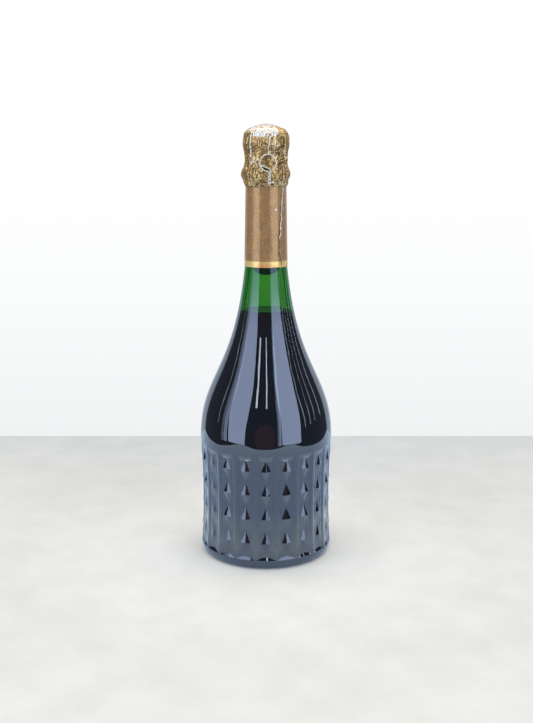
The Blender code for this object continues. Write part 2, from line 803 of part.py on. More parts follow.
def foil_hood(material, parts, cutters):
    """Crumpled foil drawn over plate, cork, legs, eyelets and belt down to the neck."""
    outline = hood_outline()
    angles = hood_column_angles()
    columns = len(angles)
    steps = leg_count * columns
    bm = bmesh.new()
    line = [bm.verts.new((index + 1, 0, index)) for index in range(1, len(outline))]
    edges = [bm.edges.new(pair) for pair in zip(line, line[1:])]
    bmesh.ops.spin(bm, geom=line + edges, axis=(0, 0, 1), angle=2 * math.pi, steps=steps, use_merge=True)
    first_row = []
    for vert in bm.verts:
        row = round(vert.co.z)
        turn = round(math.atan2(vert.co.y, vert.co.x) / (2 * math.pi) * steps) % steps
        leg = turn // columns
        offset = angles[turn % columns]
        radius, height = outline[row]
        cover = leg_cover_radius(height)
        quarter = 2 * math.pi / leg_count
        from_leg = min(offset, quarter - offset, key=abs)
        if cover > radius:
            radius = blend(radius, cover, cover_share(from_leg, height))
        vert.co = polar(radius, leg_first_angle + leg * quarter + offset, height)
        if row == 1:
            first_row.append(vert)
    rim = [edge for edge in bm.edges if edge.is_boundary and all(vert in first_row for vert in edge.verts)]
    top = bmesh.ops.edgeloop_fill(bm, edges=rim)["faces"]
    center = bmesh.ops.poke(bm, faces=top)["verts"][0]
    center.co = (0, 0, hood_top)
    bmesh.ops.recalc_face_normals(bm, faces=bm.faces)
    mesh = bpy.data.meshes.new("foil_hood")
    bm.to_mesh(mesh)
    bm.free()
    mesh.shade_smooth()
    made = new_object("foil_hood", mesh, material, parts)
    thicken = made.modifiers.new("foil", "SOLIDIFY")
    thicken.thickness = foil_thickness
    thicken.offset = -1
    cut_with(made, root_slot(cutters), "root_slot")
    return made


def root_slot(cutters):
    """The tear through which the twisted belt wires come out."""
    bm = bmesh.new()
    bmesh.ops.create_cube(bm, size=1)
    depth = 3 * cut_overrun
    bmesh.ops.scale(bm, vec=(slot_width, depth, slot_height), verts=bm.verts)
    corners = [edge for edge in bm.edges if abs(edge.verts[0].co.y - edge.verts[1].co.y) > depth / 2]
    bmesh.ops.bevel(bm, geom=corners, offset=slot_height / 3, segments=2, affect="EDGES", profile=0.5)
    mesh = bpy.data.meshes.new("root_slot")
    bm.to_mesh(mesh)
    bm.free()
    made = new_object("root_slot", mesh, None, cutters)
    place = loop_root_place()
    made.location = (place.x + slot_start + slot_width / 2, -ring_radius - seat_gap, belt_height)
    as_cutter(made)
    return made


def neck_sleeve(material, parts):
    """Foil sleeve on the neck, from the hood's edge down to the neck's foot."""
    top = hood_edge_height - sleeve_gap
    glass_top = (neck_top_radius, ring_height - ring_half_height - lip_groove)
    glass_foot = (neck_foot_radius, neck_foot_height)
    neck = [glass_top, glass_foot]
    inner = [(height_on(neck, height) + foil_gap, height) for height in (top, neck_foot_height)]
    outer = [(radius + foil_thickness, height) for radius, height in inner]
    return turned("neck_sleeve", outer + list(reversed(inner)), material, parts, round_steps, closed=True)


def main():
    remove_scene_objects()
    parts = new_collection("champagne_bottle")
    cutters = new_collection("cutters")
    green_glass = new_material("dark_green_glass", (0.02, 0.07, 0.025), 0.05, transmission=0.9)
    red_wine = new_material("wine_in_bottle", (0.05, 0.02, 0.01), 0.05, transmission=0.6)
    granules = new_material("granulated_cork", (0.5, 0.31, 0.16), 0.9)
    natural_cork = new_material("natural_cork", (0.56, 0.36, 0.2), 0.9)
    tinplate = new_material("tinplate", (0.72, 0.7, 0.66), 0.35, metallic=1.0)
    galvanised = new_material("galvanised_wire", (0.75, 0.75, 0.76), 0.35, metallic=1.0)
    gold_foil = new_material("gold_brown_foil", (0.42, 0.28, 0.13), 0.45, metallic=0.8)

    glass_bottle(green_glass, parts, cutters)
    wine(red_wine, parts)
    neck_sleeve(gold_foil, parts)

    cork_body(granules, parts, cutters)
    cork_disc("cork_disc_lower", cork_bottom, natural_cork, parts)
    cork_disc("cork_disc_upper", cork_bottom + cork_disc_thickness + seat_gap, natural_cork, parts)

    crown_plate(tinplate, parts)
    wire_cage(galvanised, parts)
    belt_wire(galvanised, parts)
    foil_hood(gold_foil, parts, cutters)

    twist = twist_axis(parts)
    twist_root(galvanised, parts, twist)
    fold = bpy.data.objects.new("loop_fold_axis", None)
    fold.parent = twist
    parts.objects.link(fold)
    pull_loop(galvanised, parts, fold)


main()
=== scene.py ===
"""Looks of a sealed sparkling-wine bottle: moulded green glass, wine, cork, crown plate, wire cage and foils.

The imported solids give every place. Lengths are in millimetres until they reach a mesh. Angles round the
bottle are counted from the front, -Y, towards +X.
"""

import json
import math
from math import cos, exp, pi, radians, sin

import bmesh
import bpy
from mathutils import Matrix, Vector, noise
from mathutils.geometry import interpolate_bezier


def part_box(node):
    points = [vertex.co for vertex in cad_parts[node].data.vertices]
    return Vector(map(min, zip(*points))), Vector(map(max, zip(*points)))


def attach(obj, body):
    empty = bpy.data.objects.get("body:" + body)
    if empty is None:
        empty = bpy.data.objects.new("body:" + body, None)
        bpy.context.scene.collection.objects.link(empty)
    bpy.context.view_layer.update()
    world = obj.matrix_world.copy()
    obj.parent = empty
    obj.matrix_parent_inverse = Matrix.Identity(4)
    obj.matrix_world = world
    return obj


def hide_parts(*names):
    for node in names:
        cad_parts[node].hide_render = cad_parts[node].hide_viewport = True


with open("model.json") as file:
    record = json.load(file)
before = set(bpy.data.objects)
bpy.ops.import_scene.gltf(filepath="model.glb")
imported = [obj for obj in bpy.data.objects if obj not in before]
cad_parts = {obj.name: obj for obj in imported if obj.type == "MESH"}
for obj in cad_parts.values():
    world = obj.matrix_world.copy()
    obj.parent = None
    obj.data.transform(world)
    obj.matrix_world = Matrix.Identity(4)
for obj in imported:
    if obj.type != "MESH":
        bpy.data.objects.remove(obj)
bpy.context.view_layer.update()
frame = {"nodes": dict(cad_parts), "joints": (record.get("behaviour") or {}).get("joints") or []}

# Glass bottle. Thick soda-lime glass coloured dark green with iron and chromium, blown in a mould that leaves
# twenty hollow flutes round the body and a column of raised diamonds in each. The finish at the top has a
# rounded lip, a groove and the ring that the wire cage grips. The foot is a flat ring round a deep punt.
MM = 0.001
glass_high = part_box("glass_bottle")[1] / MM
body_radius = glass_high.x
lip_height = glass_high.z

waist_draw = 1.3
heel_height = 7.0
heel_round_width = 4.4
heel_round_height = 6.0
standing_ring_width = 3.0
punt_height = 17.0
punt_foot_width = 4.0
base_thickness = 5.0
inner_heel_height = 11.0
body_wall = 3.8
neck_wall = 3.8

flute_count = 20
flute_top = 84.6
flute_depth = 1.2
flute_land = 1.8
flute_foot_ramp = 2.2
flute_head_ramp = 2.6
flute_brow = 3.2
brow_edge = 0.35
diamond_rows = 4
diamond_first_height = 19.2
diamond_pitch = 17.5
diamond_above = 8.2
diamond_below = 7.2
diamond_width = 6.9
diamond_rise = 1.65
diamond_side_rise = 0.6
diamond_wobble = 0.22

shoulder_start = 85.2
shoulder_lower_pull = 45.1
shoulder_upper_pull = 76.4
neck_foot_height = 209.0
neck_foot_radius = 14.95
neck_foot_slope = 0.1
neck_top_radius = 13.8
lip_radius = 14.3
lip_round = 1.0
groove_radius = 13.7
groove_height = lip_height - 6.6
ring_radius = 16.2
ring_height = lip_height - 13.1
ring_half_height = 4.4
bore_radius = 9.0
bore_chamfer = 0.8
bore_foot_height = lip_height - 30.0
fill_height = 178.0
merge_distance = 0.0005
least_edge = 0.0002

standing_radius = body_radius - heel_round_width
punt_radius = standing_radius - standing_ring_width
punt_dome_radius = punt_radius - punt_foot_width
flute_angle = 2 * pi / flute_count
land_edge = body_radius * flute_angle / 2 - flute_land / 2
half_diamond = diamond_width / 2
column_places = (-land_edge - 0.25, -land_edge + 0.25, -5.6, -4.5, -half_diamond, 0, half_diamond, 4.5, 5.6,
                 land_edge - 0.25, land_edge + 0.25)
glass_steps = flute_count * len(column_places)


def mix(start, end, share):
    return start + (end - start) * share


def smoothstep(low, high, value):
    share = min(max((value - low) / (high - low), 0.0), 1.0)
    return share * share * (3 - 2 * share)


def polar(radius, angle, height):
    """Place in metres of a radius and height in millimetres at an angle from the front towards +X."""
    return Vector((radius * sin(angle), -radius * cos(angle), height)) * MM


def arc(center, radii, start, end, steps):
    """Points of an elliptical arc of an outline, between two angles in degrees."""
    points = []
    for step in range(steps + 1):
        angle = radians(mix(start, end, step / steps))
        points.append((center[0] + radii[0] * cos(angle), center[1] + radii[1] * sin(angle)))
    return points


def shoulder(foot, start_radius, steps):
    """The long curve from the neck's foot down to the top of the body."""
    knots = (
        foot,
        (foot[0] + shoulder_upper_pull * neck_foot_slope, foot[1] - shoulder_upper_pull),
        (start_radius, shoulder_start + shoulder_lower_pull),
        (start_radius, shoulder_start),
    )
    curve = interpolate_bezier(*[Vector(knot).to_3d() for knot in knots], steps + 1)
    return [(point.x, point.y) for point in curve]


def waist_at(height):
    """How far the moulded body is drawn in at a height."""
    middle = (heel_height + flute_top) / 2
    half = (flute_top - heel_height) / 2
    return waist_draw * (1 - ((height - middle) / half) ** 2)


def drum(row_count, steps, *layers):
    """A drum of square faces, spun from a line of points, whose height counts its rows."""
    bm = bmesh.new()
    for layer in layers:
        bm.verts.layers.float.new(layer)
    line = [bm.verts.new((1, 0, row)) for row in range(row_count)]
    edges = [bm.edges.new(pair) for pair in zip(line, line[1:])]
    bmesh.ops.spin(bm, geom=line + edges, axis=(0, 0, 1), angle=2 * pi, steps=steps, use_merge=True)
    places = {}
    for vert in bm.verts:
        turn = round(math.atan2(vert.co.y, vert.co.x) / (2 * pi) * steps) % steps
        places[vert] = (round(vert.co.z), turn)
    return bm, places


def placed(name, data):
    """Makes the object of a mesh, curve, light or camera and puts it in the scene."""
    made = bpy.data.objects.new(name, data)
    bpy.context.scene.collection.objects.link(made)
    return made


def smooth_object(bm, name):
    """Makes the smooth-shaded object of a mesh."""
    mesh = bpy.data.meshes.new(name)
    bm.to_mesh(mesh)
    bm.free()
    mesh.shade_smooth()
    return placed(name, mesh)


def finished(bm, name, sharp_degrees):
    """Merges poles and doubles, turns the faces outwards and makes the object."""
    bmesh.ops.remove_doubles(bm, verts=bm.verts, dist=merge_distance * MM)
    bmesh.ops.dissolve_degenerate(bm, edges=bm.edges, dist=least_edge * MM)
    bmesh.ops.recalc_face_normals(bm, faces=bm.faces)
    made = smooth_object(bm, name)
    made.data.set_sharp_from_angle(angle=radians(sharp_degrees))
    return made


def fit(piece, body, slot, *nodes):
    """Fastens a finished piece to its body in place of the CAD nodes that it stands for."""
    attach(piece, body)
    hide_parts(*nodes)


def linear(color):
    """An sRGB hex colour such as "8a6a3c" as linear red, green, blue and alpha."""
    parts = [int(color[index:index + 2], 16) / 255 for index in (0, 2, 4)]
    return (*[part / 12.92 if part <= 0.04045 else ((part + 0.055) / 1.055) ** 2.4 for part in parts], 1)


def feed(node, links):
    """Gives a node's inputs a value, a hex colour, an output, or another node's first output in use."""
    for socket, value in links.items():
        if isinstance(value, bpy.types.Node):
            value = next(output for output in value.outputs if output.enabled)
        if isinstance(value, bpy.types.NodeSocket):
            node.id_data.links.new(value, node.inputs[socket])
        else:
            node.inputs[socket].default_value = linear(value) if isinstance(value, str) else value


def add(material, kind, links=None, stops=(), **settings):
    """Adds one node to a material or world, with its links, the stops of a ramp and its settings."""
    node = material.node_tree.nodes.new("ShaderNode" + kind)
    while stops and len(node.color_ramp.elements) < len(stops):
        node.color_ramp.elements.new(1)
    for index, (place, color) in enumerate(stops):
        node.color_ramp.elements[index].position = place
        node.color_ramp.elements[index].color = linear(color)
    for name, value in settings.items():
        setattr(node, name, value)
    feed(node, links or {})
    return node


def new_material(name, **values):
    """A Principled material with plain values on its sockets, its shader, and its Object coordinates."""
    made = bpy.data.materials.new(name)
    made.use_nodes = True
    shader = made.node_tree.nodes["Principled BSDF"]
    feed(shader, {socket.replace("_", " "): value for socket, value in values.items()})
    return made, shader, add(made, "TexCoord").outputs["Object"]


def turned(points):
    """Rows of the glass that are plain circles."""
    return [(*point, "turned") for point in points]


outer_rows = turned([(0, punt_height)] + arc((0, 0), (punt_dome_radius, punt_height), 86, 6, 14))
outer_rows += turned([(mix(punt_dome_radius, punt_radius, 0.45), 0.45), (punt_radius, 0)])
heel_center = (standing_radius, heel_round_height)
outer_rows += turned(arc(heel_center, (heel_round_width, heel_round_height), -90, 0, 10))
outer_rows += [(body_radius, heel_height, "turned"), (body_radius, heel_height, "foot")]
for index in range(diamond_rows):
    middle = diamond_first_height + index * diamond_pitch
    for above, kind in ((-diamond_below, "ground"), (0, "peak"), (diamond_above, "ground")):
        outer_rows.append((body_radius, middle + above, kind))
outer_rows += [(body_radius, flute_top - flute_brow, "head"), (body_radius, flute_top, "brow")]
outer_rows.append((body_radius, flute_top + brow_edge, "brow"))
upper = list(reversed(shoulder((neck_foot_radius, neck_foot_height), body_radius, 56)))
upper.append((neck_top_radius, ring_height - ring_half_height - 0.6))
ring_radii = (ring_radius - groove_radius, ring_half_height)
upper += arc((groove_radius, ring_height), ring_radii, -75, 75, 14)
upper += [(groove_radius, groove_height), (lip_radius, groove_height + lip_round)]
upper += arc((lip_radius - lip_round, lip_height - lip_round), (lip_round, lip_round), 0, 90, 5)
outer_rows += turned(upper)


def inner_side(inset):
    """Inside of the glass from the neck's foot down over the punt, drawn in by an inset."""
    wall_radius = body_radius - body_wall - inset
    points = shoulder((neck_foot_radius - neck_wall - inset, neck_foot_height), wall_radius, 40)
    floor = base_thickness + inset
    heel_top = floor + inner_heel_height
    for share in (0.25, 0.5, 0.75):
        height = mix(flute_top, heel_top, share)
        points.append((wall_radius - waist_at(height), height))
    trough_radius = punt_dome_radius + 0.8 * base_thickness + inset
    fillet = (wall_radius - waist_at(heel_top) - trough_radius, inner_heel_height)
    points += arc((trough_radius, heel_top), fillet, 0, -90, 8)
    points += arc((0, floor), (trough_radius, punt_height), 12, 86, 10)
    points.append((0, floor + punt_height))
    return points


inner_points = [(bore_radius + bore_chamfer, lip_height), (bore_radius, lip_height - bore_chamfer)]
inner_points += [(bore_radius, bore_foot_height)] + inner_side(0)
glass_rows = outer_rows + turned(inner_points)


def flute_place(body, height, kind, flute, column):
    """Place of a point of the fluted body: hollow across the flute, raised at the diamonds' peaks."""
    across = column_places[column]
    hollow = max(1 - (across / land_edge) ** 2, 0)
    ramp = max(hollow, 0.12)
    if kind == "foot":
        height += flute_foot_ramp * ramp
    if kind == "head":
        height -= flute_head_ramp * ramp
    if kind == "brow":
        return polar(body, flute * flute_angle + across / body_radius, height - flute_head_ramp * ramp)
    middle_column = len(column_places) // 2
    if kind != "foot" and kind != "head" and abs(column - middle_column) <= 1:
        number = round((height - diamond_first_height) / diamond_pitch)
        seed = Vector((flute * 1.7, number * 2.3, 0.5))
        height += diamond_wobble * noise.noise(seed)
    radius = body - waist_at(height) - flute_depth * hollow
    if kind == "peak" and column == middle_column:
        radius += diamond_rise
    if kind == "peak" and abs(column - middle_column) == 1:
        radius += diamond_side_rise
    return polar(radius, flute * flute_angle + across / body_radius, height)


glass_layers = ("inner", "wet", "land")
bm, places = drum(len(glass_rows), glass_steps, *glass_layers)
inner_layer, wet_layer, land_layer = (bm.verts.layers.float[name] for name in glass_layers)
half_columns = len(column_places) // 2
for vert, (row, turn) in places.items():
    radius, height, kind = glass_rows[row]
    flute, column = divmod(turn + half_columns, len(column_places))
    vert[inner_layer] = row >= len(outer_rows)
    vert[wet_layer] = row >= len(outer_rows) and height <= fill_height
    if kind == "turned":
        angle = flute * flute_angle + column_places[column] / body_radius
        vert.co = polar(radius, angle, height)
    else:
        vert[land_layer] = column in (0, 1, len(column_places) - 2, len(column_places) - 1)
        vert.co = flute_place(radius, height, kind, flute, column)
for face in list(bm.faces):
    corners = {}
    for vert in face.verts:
        row, turn = places[vert]
        corners[(glass_rows[row][2], (turn + half_columns) % len(column_places))] = vert
    columns = {column for kind, column in corners}
    kinds = {kind for kind, column in corners}
    if kinds == {"ground", "peak"} and half_columns in columns and len(columns) == 2:
        other = (columns - {half_columns}).pop()
        if abs(other - half_columns) == 1:
            bmesh.utils.face_split(face, corners[("ground", half_columns)], corners[("peak", other)])
bottle = finished(bm, "moulded_bottle", 9)
fit(bottle, "bottle", "green_glass", "glass_bottle")

# Dark green soda-lime glass from an iron mould, fire-polished. The colour lies in its bulk, so thick parts
# and grazing sights are nearly black. A hot-end film of tin oxide gives a stronger mirror outside, less at
# the neck, and the mirror carries a painted bluish tint for the room's bluish light. The thick heel lets
# least light through. A dark patch inside the neck just under the foil is painted shade for the foil's
# darkness seen through the glass. Glass against wine hardly bends light. Lands and standing ring are scuffed.
glass, shader, place = new_material("dark_green_soda_lime_glass", Transmission_Weight=1.0,
                                    Specular_IOR_Level=1.0, Coat_Roughness=0.02, Coat_IOR=2.15)
layers = [add(glass, "Attribute", attribute_name=name) for name in glass_layers]
inner, wet, land = (layer.outputs["Fac"] for layer in layers)
bend = add(glass, "MapRange", {"Value": wet, "To Min": 1.52, "To Max": 1.13})
height_of = add(glass, "SeparateXYZ", {"Vector": place})
coat = add(glass, "MapRange", {"Value": height_of.outputs["Z"], "From Min": 165 * MM, "From Max": 200 * MM,
                               "To Min": 1.0, "To Max": 0.3}, interpolation_type="SMOOTHSTEP")
outside = add(glass, "Math", {0: 1.0, 1: inner}, operation="SUBTRACT")
coat = add(glass, "Math", {0: coat, 1: outside}, operation="MULTIPLY")
wave = add(glass, "TexNoise", {"Vector": place, "Scale": 1 / (26 * MM), "Detail": 1.0})
# Painted reflection: a bluish tint on the mirror for the room's bluish light.
tint_patches = add(glass, "TexNoise", {"Vector": place, "Scale": 1 / (40 * MM), "Detail": 2.0})
painted_bluish_tint = add(glass, "ValToRGB", {"Fac": tint_patches}, stops=[(0.35, "b4c6f0"), (0.65, "c4d4f6")])
painted_bluish_tint = add(glass, "Mix", {0: land, 6: painted_bluish_tint, 7: "dae6ff"}, data_type="RGBA")
thick = add(glass, "MapRange", {"Value": height_of.outputs["Z"], "From Min": 9 * MM, "From Max": 15 * MM})
clear = add(glass, "ValToRGB", {"Fac": thick}, stops=[(0.0, "505456"), (1.0, "ffffff")])
# Painted shade: a dark patch on the inner wall just under the foil.
from_neck_painted_shade = add(glass, "VectorMath", {0: place, 1: (0, -11 * MM, 210.5 * MM)}, operation="SUBTRACT")
from_neck_painted_shade = add(glass, "VectorMath", {0: from_neck_painted_shade, 1: (9.2 * MM, 11 * MM, 6.9 * MM)}, operation="DIVIDE")
from_neck_painted_shade = add(glass, "VectorMath", {0: from_neck_painted_shade}, operation="LENGTH")
neck_painted_shade = add(glass, "MapRange",
            {"Value": from_neck_painted_shade, "From Min": 1.08, "From Max": 0.94}, interpolation_type="SMOOTHSTEP")
neck_painted_shade = add(glass, "Math", {0: neck_painted_shade, 1: inner}, operation="MULTIPLY")
clear = add(glass, "Mix", {0: neck_painted_shade, 6: clear, 7: "0d0b11"}, data_type="RGBA")
scuff = add(glass, "TexNoise", {"Vector": place, "Scale": 1 / (0.9 * MM), "Detail": 3.0})
low = add(glass, "MapRange", {"Value": height_of.outputs["Z"], "From Min": 0.2 * MM, "From Max": 2.2 * MM,
                              "To Min": 0.5, "To Max": 0.02})
worn = add(glass, "Math", {0: land, 1: 0.3, 2: low}, operation="MULTIPLY_ADD")
rough = add(glass, "Math", {0: worn, 1: scuff, 2: 0.008}, operation="MULTIPLY_ADD")
bump = add(glass, "Bump", {"Strength": 0.4, "Distance": 0.6 * MM, "Height": wave})
feed(shader, {"IOR": bend, "Coat Weight": coat, "Specular Tint": painted_bluish_tint, "Base Color": clear,
              "Roughness": rough, "Normal": bump, "Coat Normal": bump})
bulk = add(glass, "VolumeAbsorption", {"Color": "95e245", "Density": 0.5 / MM})
feed(glass.node_tree.nodes["Material Output"], {"Volume": bulk})
bottle.data.materials.append(glass)

# Wine. It fills the bottle to its level in the neck and climbs a little at the wall. Light enters it from the
# wetted glass, so its side bends none, and only its level does. Through the green glass it looks near black.
wine_inset = 0.3
meniscus = 0.7
wine_steps = 96
side = [point for point in inner_side(wine_inset) if point[1] < fill_height or point[0] > body_radius / 2]
above = [point for point in inner_side(wine_inset) if point[1] >= fill_height and point[0] <= body_radius / 2]
level_radius = mix(above[-1][0], side[0][0], (above[-1][1] - fill_height) / (above[-1][1] - side[0][1]))
wine_rows = [(0, fill_height - meniscus), (level_radius * 0.6, fill_height - meniscus)]
wine_rows.append((level_radius - 1.2, fill_height - 0.85 * meniscus))
wine_rows.append((level_radius - 0.4, fill_height - 0.45 * meniscus))
wine_rows += [(level_radius, fill_height)] + side
bm, places = drum(len(wine_rows), wine_steps, "level")
level_layer = bm.verts.layers.float["level"]
for vert, (row, turn) in places.items():
    vert.co = polar(wine_rows[row][0], turn * 2 * pi / wine_steps, wine_rows[row][1])
    vert[level_layer] = row < 5
wine = finished(bm, "wine_fill", 60)
fit(wine, "bottle", "wine", "wine")

# Wine that lets some red through and little else. Only its level bends light; its side lies on the wet glass.
liquid, shader, place = new_material("red_brown_wine", Transmission_Weight=1.0, Roughness=0.0)
level = add(liquid, "Attribute", attribute_name="level").outputs["Fac"]
bend = add(liquid, "MapRange", {"Value": level, "To Min": 1.0, "To Max": 1.34})
haze = add(liquid, "TexNoise", {"Vector": place, "Scale": 1 / (18 * MM), "Detail": 2.0})
deep = add(liquid, "ValToRGB", {"Fac": haze}, stops=[(0.3, "f0e4da"), (0.7, "fffaf4")])
feed(shader, {"IOR": bend, "Base Color": deep})
bulk = add(liquid, "VolumeAbsorption", {"Color": "cc6a40", "Density": 0.16 / MM})
feed(liquid.node_tree.nodes["Material Output"], {"Volume": bulk})
wine.data.materials.append(liquid)

# Cork. Two discs of natural cork are glued under a body of pressed cork granules and squeezed into the bore.
# The part outside keeps its width, pressed to a mushroom head with a groove under each leg of the wire.
cork_low, cork_high = (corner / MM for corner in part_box("cork_body"))
upper_disc_low, upper_disc_high = (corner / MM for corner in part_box("cork_disc_upper"))
lower_disc_low, lower_disc_high = (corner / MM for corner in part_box("cork_disc_lower"))
cork_steps = 144
shank_radius = upper_disc_high.x
cork_seat = lip_height + 0.3
cork_top = cork_high.z
head_radius = 15.55
head_top_radius = 12.6
leg_angles = [radians(-38 + 90 * index) for index in range(4)]


def from_nearest(angle, marks):
    """Signed angle from the nearest of some marked angles."""
    offsets = [math.remainder(angle - mark, 2 * pi) for mark in marks]
    return min(offsets, key=abs)


head_side = [(radius, cork_top - below) for radius, below in (
    (head_top_radius - 0.7, 0), (head_top_radius, 0.7), (head_top_radius, 2.4), (13.9, 3.4), (14.9, 4.9),
    (head_radius, 7.2), (head_radius, 9.6), (14.95, 12.6))]
head_side += [(14.3, cork_seat + 0.3), (14.0, cork_seat)]
shank_side = [(shank_radius + 0.2, cork_seat), (shank_radius, cork_seat - 0.4)]
shank_side += [(shank_radius, cork_low.z + 0.2), (shank_radius - 0.2, cork_low.z)]


def cork_piece(name, outline, rise):
    """Turns a cork piece with a slightly pitted side, from its top centre to its bottom centre."""
    rows = [(0, outline[0][1])] + outline + [(0, outline[-1][1])]
    dense = []
    for start, end in zip(rows, rows[1:]):
        steps = max(1, round(math.dist(start, end) / 0.6))
        for share in (step / steps for step in range(steps)):
            dense.append((mix(start[0], end[0], share), mix(start[1], end[1], share)))
    dense.append(rows[-1])
    bm, places = drum(len(dense), cork_steps)
    for vert, (row, turn) in places.items():
        radius, height = dense[row]
        angle = turn * 2 * pi / cork_steps
        spot = Vector((radius * sin(angle), radius * cos(angle), height))
        pit = rise * (noise.noise(spot / 1.6) - 0.6)
        if height > cork_seat:
            across = radius * from_nearest(angle, leg_angles)
            groove = smoothstep(cork_top - 3, cork_top - 6, height)
            pit -= 1.25 * groove * (1 - smoothstep(0.7, 1.7, abs(across)))
        edge = min(1, radius / 2)
        vert.co = polar(max(radius + pit * edge, 0), angle, height)
    return finished(bm, name, 40)


def cork_grain(name, light, dark, grain):
    """Cork: a soft brown mass of grains of many tones, with dark pores."""
    cork, shader, place = new_material(name, Roughness=0.86, Specular_IOR_Level=0.3)
    cells = add(cork, "TexVoronoi", {"Vector": place, "Scale": 1 / (grain * MM)})
    tone = add(cork, "SeparateColor", {"Color": cells.outputs["Color"]})
    color = add(cork, "ValToRGB", {"Fac": tone}, stops=[(0.1, dark), (0.6, light)])
    pores = add(cork, "TexNoise", {"Vector": place, "Scale": 1 / (1.1 * MM), "Detail": 5.0})
    hole = add(cork, "ValToRGB", {"Fac": pores}, stops=[(0.36, "3a2412"), (0.44, "ffffff")])
    mixed = add(cork, "Mix", {0: 0.85, 6: color, 7: hole}, data_type="RGBA", blend_type="MULTIPLY")
    bump = add(cork, "Bump", {"Strength": 0.7, "Distance": 0.2 * MM, "Height": cells})
    bump = add(cork, "Bump", {"Strength": 0.5, "Distance": 0.15 * MM, "Height": pores, "Normal": bump})
    feed(shader, {"Base Color": mixed, "Normal": bump})
    return cork


cork_body = cork_piece("granule_cork_body", head_side + shank_side, 0.06)
fit(cork_body, "stopper", "granule_cork", "cork_body")
cork_body.data.materials.append(cork_grain("pressed_cork_granules", "b8905e", "7c5530", 1.9))
natural_cork = cork_grain("natural_cork_bark", "c39a66", "a87a4a", 5.5)
discs = (("natural_cork_disc_upper", "cork_disc_upper", upper_disc_low.z, upper_disc_high.z),
         ("natural_cork_disc_lower", "cork_disc_lower", lower_disc_low.z, lower_disc_high.z))
for name, node, disc_low, disc_high in discs:
    outline = [(shank_radius - 0.25, disc_high), (shank_radius, disc_high - 0.2),
               (shank_radius, disc_low + 0.2), (shank_radius - 0.25, disc_low)]
    disc = cork_piece(name, outline, 0.03)
    fit(disc, "stopper", "natural_cork", node)
    disc.data.materials.append(natural_cork)

# Crown plate. A cap pressed from tinplate 0.3 mm thick, domed in the middle, with a trough for the wire's
# ring and an edge turned down over the cork. It is lacquered and has a few scratches from the press.
plate_low, plate_high = (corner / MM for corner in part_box("crown_plate"))
plate_radius = plate_high.x
plate_sheet = 0.3
plate_round = 1.3
plate_level = plate_low.z + plate_round
plate_steps = 144
dome_rise = plate_high.z - plate_level
plate_rows = [(0, plate_high.z)] + arc((0, plate_level), (9.6, dome_rise), 86, 10, 16)
plate_rows += [(9.9, plate_level + 0.12), (10.3, plate_level), (11.3, plate_level), (11.9, plate_level)]
edge_center = (plate_radius - plate_round, plate_level - plate_round)
plate_rows += arc(edge_center, (plate_round, plate_round), 78, 0, 6)


def sheet(bm, name, axis, thickness, inner_slot):
    """Turns a sheet's faces outwards along an axis, makes its object and thickens it on the inside."""
    bmesh.ops.recalc_face_normals(bm, faces=bm.faces)
    outer_face = max(bm.faces, key=lambda face: face.calc_center_median()[axis])
    if outer_face.normal[axis] < 0:
        bmesh.ops.reverse_faces(bm, faces=bm.faces)
    made = smooth_object(bm, name)
    thick = made.modifiers.new("sheet", "SOLIDIFY")
    thick.thickness = thickness * MM
    thick.offset = -1
    thick.material_offset = inner_slot
    return made


bm, places = drum(len(plate_rows), plate_steps)
for vert, (row, turn) in places.items():
    vert.co = polar(plate_rows[row][0], turn * 2 * pi / plate_steps, plate_rows[row][1])
bmesh.ops.remove_doubles(bm, verts=bm.verts, dist=2 * merge_distance * MM)
plate = sheet(bm, "pressed_crown_plate", 2, plate_sheet, 0)
fit(plate, "wirehood", "tinplate", "crown_plate")
tin, shader, place = new_material("lacquered_tinplate", Metallic=1.0, Coat_Weight=0.4, Coat_Roughness=0.15)
spangle = add(tin, "TexVoronoi", {"Vector": place, "Scale": 1 / (3.2 * MM)})
scratch = add(tin, "TexNoise", {"Vector": place, "Scale": 1 / (0.7 * MM), "Detail": 5.0})
color = add(tin, "ValToRGB", {"Fac": spangle}, stops=[(0.0, "b9b3a6"), (1.0, "d2cdc0")])
rough = add(tin, "MapRange", {"Value": scratch, "To Min": 0.18, "To Max": 0.46})
bump = add(tin, "Bump", {"Strength": 0.2, "Distance": 0.04 * MM, "Height": scratch})
feed(shader, {"Base Color": color, "Roughness": rough, "Normal": bump})
plate.data.materials.append(tin)

# Wire cage, belt, twisted root and pull loop. All are bent from galvanised steel wire 0.9 mm thick. The loop
# is the end of the belt, twisted on itself and opened to a ring that a finger untwists.
wire_radius = 0.45
strand_offset = 0.7
steel, shader, place = new_material("galvanised_steel_wire", Metallic=0.5)
zinc = add(steel, "TexNoise", {"Vector": place, "Scale": 1 / (0.8 * MM), "Detail": 4.0})
color = add(steel, "ValToRGB", {"Fac": zinc}, stops=[(0.35, "d6d0c0"), (0.6, "fffaea")])
rough = add(steel, "MapRange", {"Value": zinc, "To Min": 0.2, "To Max": 0.5})
bump = add(steel, "Bump", {"Strength": 0.25, "Distance": 0.03 * MM, "Height": zinc})
feed(shader, {"Base Color": color, "Roughness": rough, "Normal": bump})
for node in ("wire_cage", "belt_wire"):
    frame["nodes"][node].data.materials.clear()
    frame["nodes"][node].data.materials.append(steel)

pivot = Vector(next(joint["pos_m"] for joint in frame["joints"] if joint["name"] == "loop_fold")) / MM


def wire(name, points):
    """One round wire along points in millimetres from the loop's pivot."""
    curve = bpy.data.curves.new(name, "CURVE")
    curve.dimensions = "3D"
    curve.bevel_depth = wire_radius * MM
    curve.bevel_resolution = 4
    curve.use_fill_caps = True
    spline = curve.splines.new("POLY")
    spline.points.add(len(points) - 1)
    for point, (x, y, z) in zip(spline.points, points):
        point.co = (*((pivot + Vector((x, y, z))) * MM), 1)
    curve.materials.append(steel)
    return placed(name, curve)


